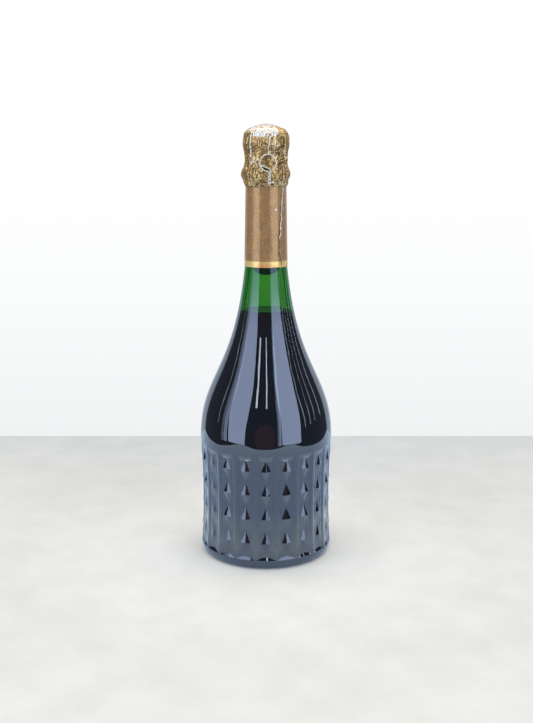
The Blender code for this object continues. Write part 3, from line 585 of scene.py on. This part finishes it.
root_length = 1.4
root_strand = []
for step in range(13):
    angle = pi * step / 12
    y = mix(root_length, 0, step / 12)
    root_strand.append((strand_offset * cos(angle), y, strand_offset * sin(angle)))
root_bend = []
for step in range(1, 10):
    angle = pi * step / 10
    root_bend.append((-strand_offset * cos(angle), -strand_offset * sin(angle), 0))
twin_strand = [(-x, y, -z) for x, y, z in reversed(root_strand)]
twist_root = wire("twisted_root", root_strand + root_bend + twin_strand)
fit(twist_root, "twist", "cage_wire", "twist_root")

loop_low, loop_high = (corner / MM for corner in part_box("pull_loop"))
ring_diameter = loop_high.x - loop_low.x
loop_shift = (loop_low.x + loop_high.x) / 2 - pivot.x
stem_start = 1.5
stem_length = 5.75
stem_half_turns = 3
loop_lean = radians(3)
bend_radius = ring_diameter / 2 - wire_radius
strands = []
stem_steps = 36
for side_sign in (1, -1):
    strand = []
    for step in range(stem_steps + 1):
        angle = pi * stem_half_turns * step / stem_steps
        offset = side_sign * strand_offset
        height = stem_start + stem_length * step / stem_steps
        strand.append((offset * cos(angle), offset * sin(angle), height))
    strands.append(strand)
last_side = strands[0][-1][0]
opening = math.asin(2 * strand_offset / bend_radius)
ring_middle = stem_start + stem_length + bend_radius * cos(opening) + strand_offset
ring = []
ring_steps = 64
for step in range(ring_steps + 1):
    angle = mix(opening, 2 * pi - opening, step / ring_steps)
    across = math.copysign(bend_radius, last_side) * sin(angle)
    ring.append((loop_shift + across, 0, ring_middle - bend_radius * cos(angle)))
loop_points = strands[0] + ring + list(reversed(strands[1]))
loop_points = [(x, y + z * sin(loop_lean), z * cos(loop_lean)) for x, y, z in loop_points]
pull_loop = wire("twisted_pull_loop", loop_points)
fit(pull_loop, "loop", "cage_wire", "pull_loop")

# Foil hood. Aluminium foil lacquered gold-brown, smoothed by hand over plate, cork, wire and glass ring. The
# wire's legs, eyelets and belt stand out through it. It is creased and torn at the loop and rubbed to bright
# metal on the dome. The bright lines along its creases are partly rubbed metal and partly painted highlight,
# the torn lip, the hem beads and the arch over the belt carry painted highlights, and its deepest folds and
# the dip above that arch carry painted shade.
hood_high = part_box("foil_hood")[1] / MM
foil_sheet = 0.15
hood_columns = 300
hood_side = (
    (0, 306.62), (2.8, 306.25), (6.6, 305.1), (10.2, 303.75), (12.7, 302.5), (14, 301.1), (14.9, 299.3),
    (15.55, 297.1), (15.95, 294.6), (16.05, 292.2), (15.75, 290.1), (15.25, 288.3), (14.95, 286.6),
    (14.85, 284.5), (14.85, 282), (14.95, 279.6), (15.35, 277.6), (16.1, 275.7), (16.6, 274),
    (16.75, 272.4), (16.6, 270.6), (16, 268.9), (15.4, 267.3), (15.05, 266), (14.55, 264.9),
    (14.4, 264.2),
)
eyelet_tip = 281.9
eyelet_half_width = 2.3
belt_height = pivot.z
stem_left, stem_right = pivot.x - 1.15, pivot.x + 1.15
slit_start, slit_end = (-3.3, 277.7), (2.6, 275.2)
hem_bead_pitch = 4.3


def smooth_through(knots, steps):
    """A curve of Catmull-Rom spans through the given points."""
    knots = [Vector(knot) for knot in knots]
    curve = []
    for index in range(len(knots) - 1):
        before = knots[max(index - 1, 0)]
        start, end = knots[index], knots[index + 1]
        after = knots[min(index + 2, len(knots) - 1)]
        for step in range(steps):
            share = step / steps
            pull = (end - before) * share + (2 * before - 5 * start + 4 * end - after) * share ** 2
            push = (3 * start - before - 3 * end + after) * share ** 3
            curve.append(start + (pull + push) / 2)
    curve.append(knots[-1])
    return curve


def ridge(spot, size):
    """Creases of crumpled foil: 1 on a crease line, falling to 0 between creases of about the given size."""
    return 1 - min(abs(noise.noise(spot / size)) * 3.2, 1)


def leg_stand(across, height):
    """How far the wire under the foil lifts it at a distance beside a leg, and how sharp that edge is."""
    if height > eyelet_tip:
        lift = mix(2.1, 1.35, smoothstep(283, 288, height)) * (1 - smoothstep(299.5, 302.2, height))
        return lift * (1 - smoothstep(0.5, 2.4, abs(across)))
    half = mix(eyelet_half_width, 0.4, smoothstep(273.5, eyelet_tip, height))
    lift = mix(1.15, 2.1, smoothstep(273, eyelet_tip, height)) * smoothstep(264.3, 266.2, height)
    beside = abs(abs(across) - half)
    wall = 1 - smoothstep(0.4, 1.5, beside)
    inside = 0.62 if abs(across) < half else 0.0
    return lift * max(wall, inside)


def beside_line(x, z, start, end):
    """Share along a straight mark between two places of the front, and the distance above it."""
    run, rise = end[0] - start[0], end[1] - start[1]
    length = math.hypot(run, rise)
    along = ((x - start[0]) * run + (z - start[1]) * rise) / length ** 2
    above = ((z - start[1]) * run - (x - start[0]) * rise) / length
    return along, above


hood_line = smooth_through(hood_side, 6)
bm, places = drum(len(hood_line), hood_columns, "wear_and_painted_light")
wear_and_painted_light_layer = bm.verts.layers.float["wear_and_painted_light"]
# Creases: angles down each, its upper and lower end, how far it rises, and how bright it is painted, partly
# rubbed metal and partly a painted highlight.
creases = (
    ((9.8, 8, 5.4, 6.7), 297.5, 286, 0.42, 1.2),
    ((23.2, 24, 22.3, 22.7), 297.5, 286.5, 0.36, 1.1),
    ((-10.5, -11.5, -10, -9), 296.5, 289.5, 0.16, 0.35),
    ((-19, -21, -22, -23), 296, 288, 0.14, 0.2),
    ((-37, -38.5, -38.5, -39.5), 300.5, 283.5, 0.3, 1.3),
    ((52, 51, 53, 52), 299, 284, 0.2, 0.5),
    ((-31.6, -33.5, -37, -41), 282.6, 277.6, 0.5, 1),
    ((-31.6, -29, -26, -21.5), 282.6, 277.6, 0.5, 1),
    ((-31.6, -34, -37, -38), 279.2, 275.8, 0.35, 0.5),
    ((-31.6, -29, -26, -25), 279.2, 275.8, 0.35, 0.5),
    ((39, 36, 41, 38), 298, 287, 0.2, 0.3),
    ((58, 51, 47, 44), 284.5, 279.5, 0.8, 0.6),
    ((44, 50, 56, 60), 279, 273.5, 0.75, 0.5),
    ((44, 39, 36, 34), 279, 274.5, -0.6, 0),
    ((44, 45, 44, 46), 270.5, 265, 0.3, 0.9),
    ((-36, -38, -37, -36), 272.5, 265, 0.3, 0.45),
    ((-28, -27, -27.5, -27), 273, 265.5, 0.25, 0.35),
)
# Folds painted dark with painted shade: from and to a place on the front, and the width.
painted_shade_folds = (
    ((6.6, 288.2), (13, 291.1), 0.55),
    ((9.9, 286.8), (9.7, 284.6), 0.7),
    ((8.6, 279.2), (12.4, 280.4), 0.55),
    ((12.9, 277.8), (13.4, 275.6), 0.7),
    ((-11.6, 284.6), (-11.9, 282.4), 0.7),
    ((-12, 280), (-12.1, 278.4), 0.6),
)
for vert, (row, turn) in places.items():
    radius, height = hood_line[row]
    radius = max(radius, 0)
    angle = turn * 2 * pi / hood_columns
    near = math.remainder(angle, 2 * pi)
    before, after = hood_line[max(row - 1, 0)], hood_line[min(row + 1, len(hood_line) - 1)]
    slope = (after - before).normalized()
    outward, upward = -slope.y, slope.x
    spot = Vector((radius * sin(angle), -radius * cos(angle), height))
    across = radius * from_nearest(angle, leg_angles)
    stand = leg_stand(across, height) if radius > 8 else 0
    soft = smoothstep(2, 7, radius)
    busy = 0.5 + 0.5 * smoothstep(-0.15, 0.2, noise.noise(spot / 9 + Vector((3, 1, 7))))
    drawn = Vector((spot.x, spot.y, spot.z / mix(1.3, 2.8, smoothstep(284, 292, height))))
    fold, knead = ridge(drawn, 4.6), ridge(drawn + Vector((11, 5, 3)), 2.7)
    fine = ridge(spot + Vector((2, 9, 4)), 1.6)
    bulge = (0.68 * fold * busy + 0.46 * knead * busy + 0.08 * fine) * soft - 0.34
    wear_and_painted_light = 0.3 * smoothstep(0.8, 1.0, knead) + 0.22 * smoothstep(0.75, 1, fine)
    for angles, high_end, low_end, rise, rub_and_highlight in creases:
        share = (high_end - height) / (high_end - low_end)
        if -0.1 < share < 1.1:
            place_on = min(max(share, 0), 0.999) * (len(angles) - 1)
            index = int(place_on)
            line_angle = radians(mix(angles[index], angles[index + 1], place_on - index))
            ends = smoothstep(-0.1, 0.05, share) * smoothstep(-0.1, 0.05, 1 - share)
            peak = exp(-(radius * (near - line_angle) / 0.46) ** 2) * ends
            bulge += rise * peak
            wear_and_painted_light = max(wear_and_painted_light, rub_and_highlight * peak * (0.95 + 0.3 * noise.noise(spot / 1.4)))
    painted_shade = 0.0
    for start, end, width in painted_shade_folds:
        along, above = beside_line(radius * near, height, start, end)
        ends = smoothstep(-0.3, 0.1, along) * smoothstep(-0.3, 0.1, 1 - along)
        deep = exp(-((above + 0.25 * noise.noise(spot / 1.5)) / width) ** 2) * ends
        bulge -= 0.3 * deep
        painted_shade = max(painted_shade, deep)
    if stand > 0.2:
        high_leg = smoothstep(283, 285, height)
        wear_and_painted_light = max(wear_and_painted_light, (0.25 + 0.2 * high_leg) * smoothstep(0.84, 0.99, stand / (2.1 - 0.6 * high_leg)))
    x, z = radius * sin(near), height
    if cos(near) > 0:
        along, above = beside_line(x, z, slit_start, slit_end)
        if -0.1 < along < 1.1:
            # The torn lip is raised and carries a painted highlight.
            lip = smoothstep(0.1, 0.4, above) * (1 - smoothstep(0.8, 1.2, above))
            lip *= smoothstep(-0.1, 0.1, along)
            lip *= 1 - smoothstep(0.95, 1.1, along)
            bulge += 0.4 * lip
            wear_and_painted_light = max(wear_and_painted_light, 1.4 * lip)
        to_right = smoothstep(stem_left - 0.5, stem_right, x) * (1 - smoothstep(6.2, 7.4, x))
        stub = to_right * exp(-((z - belt_height - 0.12 * (x - pivot.x)) / 0.5) ** 2)
        bulge += 0.35 * stub
        wear_and_painted_light = max(wear_and_painted_light, 0.85 * stub)
        arch = 1 - ((x + 1.2) / 5.6) ** 2
        if arch > 0:
            over = z - (264.3 + 2.0 * arch)
            # The arch over the belt: a painted highlight on its crest and painted shade in the dip above it.
            bulge += 0.32 * exp(-(over / 0.35) ** 2) - 0.2 * exp(-((over - 0.8) / 0.3) ** 2)
            wear_and_painted_light = max(wear_and_painted_light, 0.4 * exp(-(over / 0.3) ** 2))
            painted_shade = max(painted_shade, 0.9 * exp(-((over - 0.8) / 0.35) ** 2))
    bulge += 0.2 * exp(-((height - belt_height) / 0.5) ** 2)
    # Hem beads, each with a painted highlight on top.
    bead = 0.5 + 0.5 * cos(2 * pi * radius * near / hem_bead_pitch)
    hem = 1 - smoothstep(264.9, 265.4, height)
    bulge += 0.35 * hem * smoothstep(0.45, 0.9, bead)
    wear_and_painted_light = max(wear_and_painted_light, 0.6 * hem * smoothstep(0.6, 0.9, bead))
    if height > 300.5 and stand == 0:
        bulge = min(bulge, 0.1)
    top_limit = hood_high.z - 0.02 - height
    radius += outward * bulge + stand * abs(outward)
    height += min(upward * bulge, top_limit)
    front = smoothstep(0.7, 0.93, cos(near - radians(-2)))
    edge = mix(301.2, 297.4, front) + 1.5 * noise.noise(spot / 2.6) + 0.9 * noise.noise(spot / 0.9)
    edge += 2.4 * smoothstep(0.45, 0.7, sin(near))
    bare = smoothstep(edge - 0.5, edge + 0.8, height)
    islands = smoothstep(0.25, 0.42, noise.noise(spot / 1.8 + Vector((9, 0, 0))))
    islands *= 1 - smoothstep(303, 306, height)
    wear_and_painted_light = max(wear_and_painted_light, bare * (1 - 0.85 * islands))
    # The attribute holds rubbing and painted highlights above 0 and painted shade below 0.
    vert[wear_and_painted_light_layer] = min(max(wear_and_painted_light - 1.6 * painted_shade, -1), 1)
    vert.co = polar(max(radius, 0), angle, height)


def torn(center):
    """Whether a face lies in one of the foil's small holes at the front."""
    x, z = center.x / MM, center.z / MM
    if center.y > 0:
        return False
    at_stem = stem_left < x < stem_right and abs(z - belt_height) < 0.9
    under_stub = stem_right <= x < stem_right + 1.6 and abs(z - belt_height + 1.0) < 0.35
    along, above = beside_line(x, z, slit_start, slit_end)
    slit = 0.02 < along < 0.98 and -1.2 * sin(pi * along) < above < 0.1
    return at_stem or under_stub or slit


gone = [face for face in bm.faces if torn(face.calc_center_median())]
bmesh.ops.delete(bm, geom=gone, context="FACES")
bmesh.ops.remove_doubles(bm, verts=bm.verts, dist=merge_distance * MM)
hood = sheet(bm, "crumpled_foil_hood", 2, foil_sheet, 1)
fit(hood, "wirehood", "hood_foil", "foil_hood")

# The inner side of the foils is coated with a dark wax that sticks them to glass and cork.
wax, shader, place = new_material("dark_foil_wax", Roughness=0.6, Specular_IOR_Level=0.2)
smear = add(wax, "TexNoise", {"Vector": place, "Scale": 1 / (2.5 * MM), "Detail": 3.0})
tone = add(wax, "ValToRGB", {"Fac": smear}, stops=[(0.3, "0c0a09"), (0.7, "221c18")])
feed(shader, {"Base Color": tone})


def worn_foil(name, band_top, relief, smooth, metallic, tones):
    """Lacquered gold-brown foil: bright bare metal at rubs and painted highlights, painted shade below 0."""
    foil, shader, place = new_material(name, Coat_Weight=0.1, Coat_Roughness=0.12, Coat_IOR=1.5,
                                       Sheen_Weight=0.2, Sheen_Roughness=0.4, Specular_Tint="ffc878")
    wear_and_painted_light = add(foil, "Attribute", attribute_name="wear_and_painted_light").outputs["Fac"]
    patches = add(foil, "TexNoise", {"Vector": place, "Scale": 1 / (7 * MM), "Detail": 3.0})
    speckle = add(foil, "TexNoise",
                  {"Vector": place, "Scale": 1 / (0.9 * MM), "Detail": 4.0, "Roughness": 0.6})
    mixed = add(foil, "Math", {0: patches, 1: 0.35, 2: -0.175}, operation="MULTIPLY_ADD")
    mixed = add(foil, "Math", {0: mixed, 1: speckle}, operation="ADD")
    lacquer = add(foil, "ValToRGB", {"Fac": mixed}, stops=list(zip((0.3, 0.5, 0.7), tones)))
    grit = add(foil, "TexNoise", {"Vector": place, "Scale": 1 / (0.4 * MM), "Detail": 3.0})
    # Bright bare metal where the attribute is high, partly rubbing and partly painted highlight.
    rubbed_and_highlit = add(foil, "Math", {0: grit, 1: 0.9, 2: -0.45}, operation="MULTIPLY_ADD")
    rubbed_and_highlit = add(foil, "Math", {0: rubbed_and_highlit, 1: wear_and_painted_light}, operation="ADD")
    rubbed_and_highlit = add(foil, "MapRange",
                 {"Value": rubbed_and_highlit, "From Min": 0.4, "From Max": 0.75}, interpolation_type="SMOOTHSTEP")
    bare = add(foil, "ValToRGB", {"Fac": grit}, stops=[(0.3, "dad3c2"), (0.6, "fffaf0")])
    rough = add(foil, "MapRange", {"Value": speckle, "To Min": smooth, "To Max": smooth + 0.2})
    # Painted shade: where the attribute falls below 0 the lacquer darkens towards 33281c.
    painted_shade = add(foil, "MapRange", {"Value": wear_and_painted_light, "From Min": -0.15, "From Max": -0.9, "To Max": 0.85},
                interpolation_type="SMOOTHSTEP")
    lacquer = add(foil, "Mix", {0: painted_shade, 6: lacquer, 7: "33281c"}, data_type="RGBA")
    if band_top:
        height_of = add(foil, "SeparateXYZ", {"Vector": place})
        band = add(foil, "Math", {0: height_of.outputs["Z"], 1: band_top}, operation="LESS_THAN")
        gilt = add(foil, "ValToRGB", {"Fac": patches}, stops=[(0.35, "f0a866"), (0.55, "ffdf92")])
        lacquer = add(foil, "Mix", {0: band, 6: lacquer, 7: gilt}, data_type="RGBA")
        rough = add(foil, "Mix", {0: band, 2: rough, 3: 0.1})
    color = add(foil, "Mix", {0: rubbed_and_highlit, 6: lacquer, 7: bare}, data_type="RGBA")
    metal = add(foil, "MapRange", {"Value": rubbed_and_highlit, "To Min": metallic, "To Max": 0.45})
    bump = add(foil, "Bump", {"Strength": relief, "Distance": 0.1 * MM, "Height": speckle})
    bump = add(foil, "Bump", {"Strength": relief, "Distance": 0.03 * MM, "Height": grit, "Normal": bump})
    feed(shader, {"Base Color": color, "Metallic": metal, "Roughness": rough, "Normal": bump})
    return foil


hood_lacquer = worn_foil("worn_gold_brown_foil", None, 0.4, 0.1, 0.75, ("614526", "c49a5c", "ffe6a8"))
hood.data.materials.append(hood_lacquer)
hood.data.materials.append(wax)

# Neck sleeve. The same foil, rolled round the neck with one overlap at the right and polished to a gilt band
# at its foot. The overlap has lifted and cracked open, with a painted highlight along the crack's right edge,
# and the foil has a few dents and one bare chip.
sleeve_low, sleeve_high = (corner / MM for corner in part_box("neck_sleeve"))
sleeve_columns = 300
sleeve_top = sleeve_high.z
sleeve_foot = sleeve_low.z
sleeve_foot_radius = neck_foot_radius + 0.35
sleeve_top_radius = 14.32
band_height = 4.1
seam_track = ((264, 50), (255.7, 46.2), (248.2, 43), (229.9, 36.6), (219.5, 36), (213, 42.5), (209, 45))
sleeve_rows = 120


def seam_at(height):
    """Angle of the overlap's ragged edge at a height."""
    for (upper_height, upper_angle), (lower_height, lower_angle) in zip(seam_track, seam_track[1:]):
        if height >= lower_height:
            share = (upper_height - height) / (upper_height - lower_height)
            ragged = 2.0 * noise.noise(Vector((0, 7, height / 2.2)))
            return radians(mix(upper_angle, lower_angle, share) + ragged)
    return radians(seam_track[-1][1])


chip_angle, chip_height, chip_radius = radians(28), 248.7, 0.85
crease_height = 221.2
bm, places = drum(sleeve_rows, sleeve_columns, "wear_and_painted_light")
wear_and_painted_light_layer = bm.verts.layers.float["wear_and_painted_light"]
for vert, (row, turn) in places.items():
    height = mix(sleeve_top, sleeve_foot, row / (sleeve_rows - 1))
    angle = turn * 2 * pi / sleeve_columns
    near = math.remainder(angle, 2 * pi)
    radius = mix(sleeve_foot_radius, sleeve_top_radius, (height - sleeve_foot) / (sleeve_top - sleeve_foot))
    spot = Vector((radius * sin(angle), -radius * cos(angle), height))
    wear_and_painted_light = 0.0
    bulge = 0.05 * noise.noise(Vector((spot.x / 5, spot.y / 5, height / 14))) - 0.08
    in_band = height < sleeve_foot + band_height
    if not in_band:
        bulge += 0.05 * ridge(spot, 6) * smoothstep(0.05, 0.3, noise.noise(spot / 12))
    beside = radius * (near - seam_at(height))
    if -8 < beside <= 0:
        bulge += 0.22 * smoothstep(-8, 0, beside)
    if 0 < beside < 5:
        right = 1 - smoothstep(2.5, 5, beside)
        bulge += 0.2 * right * ridge(spot + Vector((5, 0, 2)), 2.2) * (0.3 if in_band else 1)
        # A painted highlight along the right edge of the crack.
        painted_highlight_line = exp(-((beside - 1.2 - 0.25 * noise.noise(Vector((3, 0, height / 2)))) / 0.38) ** 2)
        painted_highlight_line *= smoothstep(226, 234, height) if height < 240 else 1
        painted_highlight_line *= smoothstep(-0.5, -0.1, noise.noise(Vector((0, 5, height / 3.1))))
        bulge += 0.12 * painted_highlight_line
        wear_and_painted_light = 0.95 * painted_highlight_line + right * (0.3 + 0.35 * smoothstep(0.6, 1, ridge(spot, 2.2)))
    chip = math.hypot(radius * (near - chip_angle), height - chip_height)
    if chip < 2.5:
        bulge -= 0.14 * (1 - smoothstep(0.4, chip_radius + 0.6, chip))
        wear_and_painted_light = max(wear_and_painted_light, 1.3 * (1 - smoothstep(0.5, chip_radius, chip)))
    if in_band:
        along = (height - sleeve_foot) / band_height
        fold = exp(-(radius * (near - radians(mix(-48, -66, along))) / 0.35) ** 2)
        bulge += 0.22 * fold
        wear_and_painted_light = max(wear_and_painted_light, 0.9 * fold)
    if -0.95 < near < 0.28:
        bulge -= 0.12 * exp(-((height - crease_height + 0.2 * noise.noise(spot / 3)) / 0.35) ** 2)
    top_edge = smoothstep(sleeve_top - 1.1, sleeve_top, height)
    bulge += 0.12 * top_edge * ridge(spot, 1.9)
    wear_and_painted_light = max(wear_and_painted_light, 0.8 * top_edge * smoothstep(0.55, 0.9, ridge(spot + Vector((0, 0, 4)), 2.6)))
    vert[wear_and_painted_light_layer] = min(max(wear_and_painted_light, 0), 1)
    vert.co = polar(radius + bulge, angle, height)


def cracked(center):
    """Whether a face of the sleeve lies in the open crack beside the overlap."""
    place = center / MM
    near = math.atan2(place.x, -place.y)
    beside = math.hypot(place.x, place.y) * (near - seam_at(place.z))
    width = 0.6 + 0.35 * noise.noise(Vector((0, 2, place.z / 5)))
    width *= mix(1.0, 0.45, smoothstep(240, 258, place.z))
    return -0.1 < beside < max(width, 0.2) and place.z > sleeve_foot + 0.5


gone = [face for face in bm.faces if cracked(face.calc_center_median())]
bmesh.ops.delete(bm, geom=gone, context="FACES")
sleeve = sheet(bm, "rolled_foil_sleeve", 0, foil_sheet, 1)
fit(sleeve, "bottle", "sleeve_foil", "neck_sleeve")
sleeve_lacquer = worn_foil("gold_brown_sleeve_foil", (sleeve_foot + band_height) * MM, 0.1, 0.06, 0.38,
                           ("977858", "b28c62", "d0a66e"))
sleeve.data.materials.append(sleeve_lacquer)
sleeve.data.materials.append(wax)

# Stage: a pale table top and a white backdrop behind it, in a dim room. Both show only from their front.
# Mirrored in the glass they show a glowing painted reflection, bluer and dimmer than to the camera, as in a
# room lit by windows.
table_front, table_back, table_side = -0.4, 0.289, 0.36
backdrop_height = 0.62


def stage_sheet(name, low_corner, high_corner):
    """One flat pale sheet of the stage: its material, shader and Object coordinates."""
    bm = bmesh.new()
    bmesh.ops.create_grid(bm, x_segments=1, y_segments=1, size=1)
    for vert in bm.verts:
        far = high_corner if vert.co.y > 0 else low_corner
        vert.co = Vector((math.copysign(table_side, vert.co.x), far[0], far[1]))
    made = smooth_object(bm, name)
    material, shader, place = new_material(name, Roughness=0.7, Specular_IOR_Level=0.2)
    made.data.materials.append(material)
    return material, shader, place


def one_sided(material, shader):
    """Lets a stage sheet vanish from behind."""
    back = add(material, "NewGeometry").outputs["Backfacing"]
    clear = add(material, "BsdfTransparent")
    sided = add(material, "MixShader", {0: back, 1: shader, 2: clear})
    feed(material.node_tree.nodes["Material Output"], {"Surface": sided})


# The table is a pale grey-white laminate with faint cloudy wear. Near the bottle its colour is painted paler,
# a painted light that lifts the bottle's shadow. Its mirror image darkens towards the bottle, a painted
# contact shadow.
table, shader, place = stage_sheet("pale_laminate_table", (table_front, 0), (table_back, 0))
cloud = add(table, "TexNoise", {"Vector": place, "Scale": 1 / (34 * MM), "Detail": 6.0})
tone = add(table, "ValToRGB", {"Fac": cloud}, stops=[(0.3, "dddcd3"), (0.7, "e6e4dc")])
away = add(table, "VectorMath", {0: place}, operation="LENGTH")
# Painted light: the colour is up to 1.12 times paler near the bottle, lifting its shadow.
painted_light_near_bottle = add(table, "MapRange", {"Value": away, "From Min": 0.04, "From Max": 0.2, "To Min": 1.12,
                                   "To Max": 0.93}, interpolation_type="SMOOTHSTEP")
tone = add(table, "VectorMath", {0: tone, "Scale": painted_light_near_bottle}, operation="SCALE")
feed(shader, {"Base Color": tone})
# Its mirror image is a glowing painted reflection, with a painted contact shadow next to the bottle.
spread = add(table, "MapRange", {"Value": away, "From Min": 0.04, "From Max": 0.4})
shade = add(table, "ValToRGB", {"Fac": spread},
            stops=[(0.004, "241f22"), (0.024, "acc0dc"), (0.15, "e0f0ff"), (0.34, "bcd2f2"),
                   (0.7, "c0d6f4"), (1.0, "d6eaff")])
light = add(table, "Emission", {"Color": shade, "Strength": 1.0})
rays = add(table, "LightPath")
shown = add(table, "MixShader", {0: rays.outputs["Is Glossy Ray"], 1: shader, 2: light})
one_sided(table, shown)

# The backdrop is a white painted wall, a little greyer towards its foot: a painted shade.
wall, shader, place = stage_sheet("white_painted_wall", (table_back, 0), (table_back, backdrop_height))
cloud = add(wall, "TexNoise", {"Vector": place, "Scale": 1 / (60 * MM), "Detail": 4.0})
tone = add(wall, "ValToRGB", {"Fac": cloud}, stops=[(0.3, "f4f4f4"), (0.7, "fafafa")])
feed(shader, {"Base Color": tone})
# Painted shade: the glow seen by the camera greys towards the wall's foot.
height_of = add(wall, "SeparateXYZ", {"Vector": place})
fade = add(wall, "MapRange", {"Value": height_of.outputs["Z"], "From Max": 0.26})
pale = add(wall, "ValToRGB", {"Fac": fade}, stops=[(0.0, "f1f2f3"), (0.6, "fbfcfd"), (1.0, "ffffff")])
rays = add(wall, "LightPath")
color = add(wall, "Mix", {0: rays.outputs["Is Glossy Ray"], 6: pale, 7: "b4c0d2"}, data_type="RGBA")
light = add(wall, "Emission", {"Color": color, "Strength": 1.0})
seen = add(wall, "Math",
           {0: rays.outputs["Is Camera Ray"], 1: rays.outputs["Is Glossy Ray"]}, operation="ADD")
seen = add(wall, "Math", {0: seen, 1: rays.outputs["Is Transmission Ray"]}, operation="ADD", use_clamp=True)
shown = add(wall, "MixShader", {0: seen, 1: shader, 2: light})
one_sided(wall, shown)


# Light: one large soft light overhead, a tall soft window at each side of the front with dimmer curtains at
# one edge, thin lamps between and beside the windows, and a dim warm panel low in front.
def panel(name, azimuth, elevation, distance, size, radiance, color, shape="RECTANGLE"):
    """A soft flat light that faces the bottle's shoulder from a direction round the front."""
    light = bpy.data.lights.new(name, "AREA")
    light.shape = shape
    light.size, light.size_y = size
    light.energy = radiance * pi * size[0] * size[1]
    light.color = linear(color)[:3]
    made = placed(name, light)
    aim = Vector((0, 0, 0.13))
    turn, lift = radians(azimuth), radians(elevation)
    away = Vector((sin(turn) * cos(lift), -cos(turn) * cos(lift), sin(lift)))
    made.location = aim + away * distance
    made.rotation_mode = "QUATERNION"
    made.rotation_quaternion = away.to_track_quat("Z", "Y")
    made.visible_camera = False


panel("overhead", 180, 66, 1.5, (3.6, 2.2), 1.5, "fff8ec")
windows = (
    ("left_window", -52, 0.95, 1.9), ("left_curtain", -73, 0.16, 1.1), ("left_curtain_edge", -79, 0.12, 0.6),
    ("right_window", 45.5, 1.0, 1.95), ("right_curtain", 25, 0.1, 1.4),
    ("right_curtain_edge", 21.5, 0.08, 0.7),
)
for name, azimuth, width, radiance in windows:
    panel(name, azimuth, 20, 1.5, (width, 1.9), radiance, "cfdfff")
panel("thin_lamp_middle", 1, 34, 1.6, (0.05, 0.6), 3.4, "e6eeff")
panel("thin_lamp_left", -19, 34, 1.6, (0.08, 0.6), 3.4, "e6eeff")
side_lamps = (("far_left", -92), ("right", 72), ("far_right", 84), ("rear_right", 97), ("last_right", 112))
for name, azimuth in side_lamps:
    panel("thin_lamp_" + name, azimuth, 14, 1.6, (0.03, 0.9), 1.8, "e6eeff")
panel("dim_warm_panel", -2, -6, 1.3, (0.8, 0.6), 0.13, "b06060", "ELLIPSE")

world = bpy.data.worlds.new("dim_room")
world.use_nodes = True
bpy.context.scene.world = world
background = world.node_tree.nodes["Background"]
rays = add(world, "LightPath")
room = add(world, "Mix", {0: rays.outputs["Is Diffuse Ray"], 6: "464d5a", 7: "b0b0ae"}, data_type="RGBA")
tone = add(world, "Mix", {0: rays.outputs["Is Camera Ray"], 6: room, 7: "ffffff"}, data_type="RGBA")
feed(background, {"Color": tone})

# Camera: the photograph's angle, found from the ellipses of base, band and dome.
focal_pixels = 1000
image_width, image_height = 533, 723
axis_pixel = 266.0
pitch = radians(11.97)
camera_data = bpy.data.cameras.new("camera")
camera_data.sensor_width = 36
camera_data.lens = focal_pixels / image_height * camera_data.sensor_width
camera_data.shift_x = (image_width / 2 - axis_pixel) / image_height
camera = placed("camera", camera_data)
camera.location = (0, -0.7033, 0.2889)
camera.rotation_euler = (pi / 2 - pitch, 0, 0)
bpy.context.scene.camera = camera
bpy.context.scene.view_settings.view_transform = "Standard"
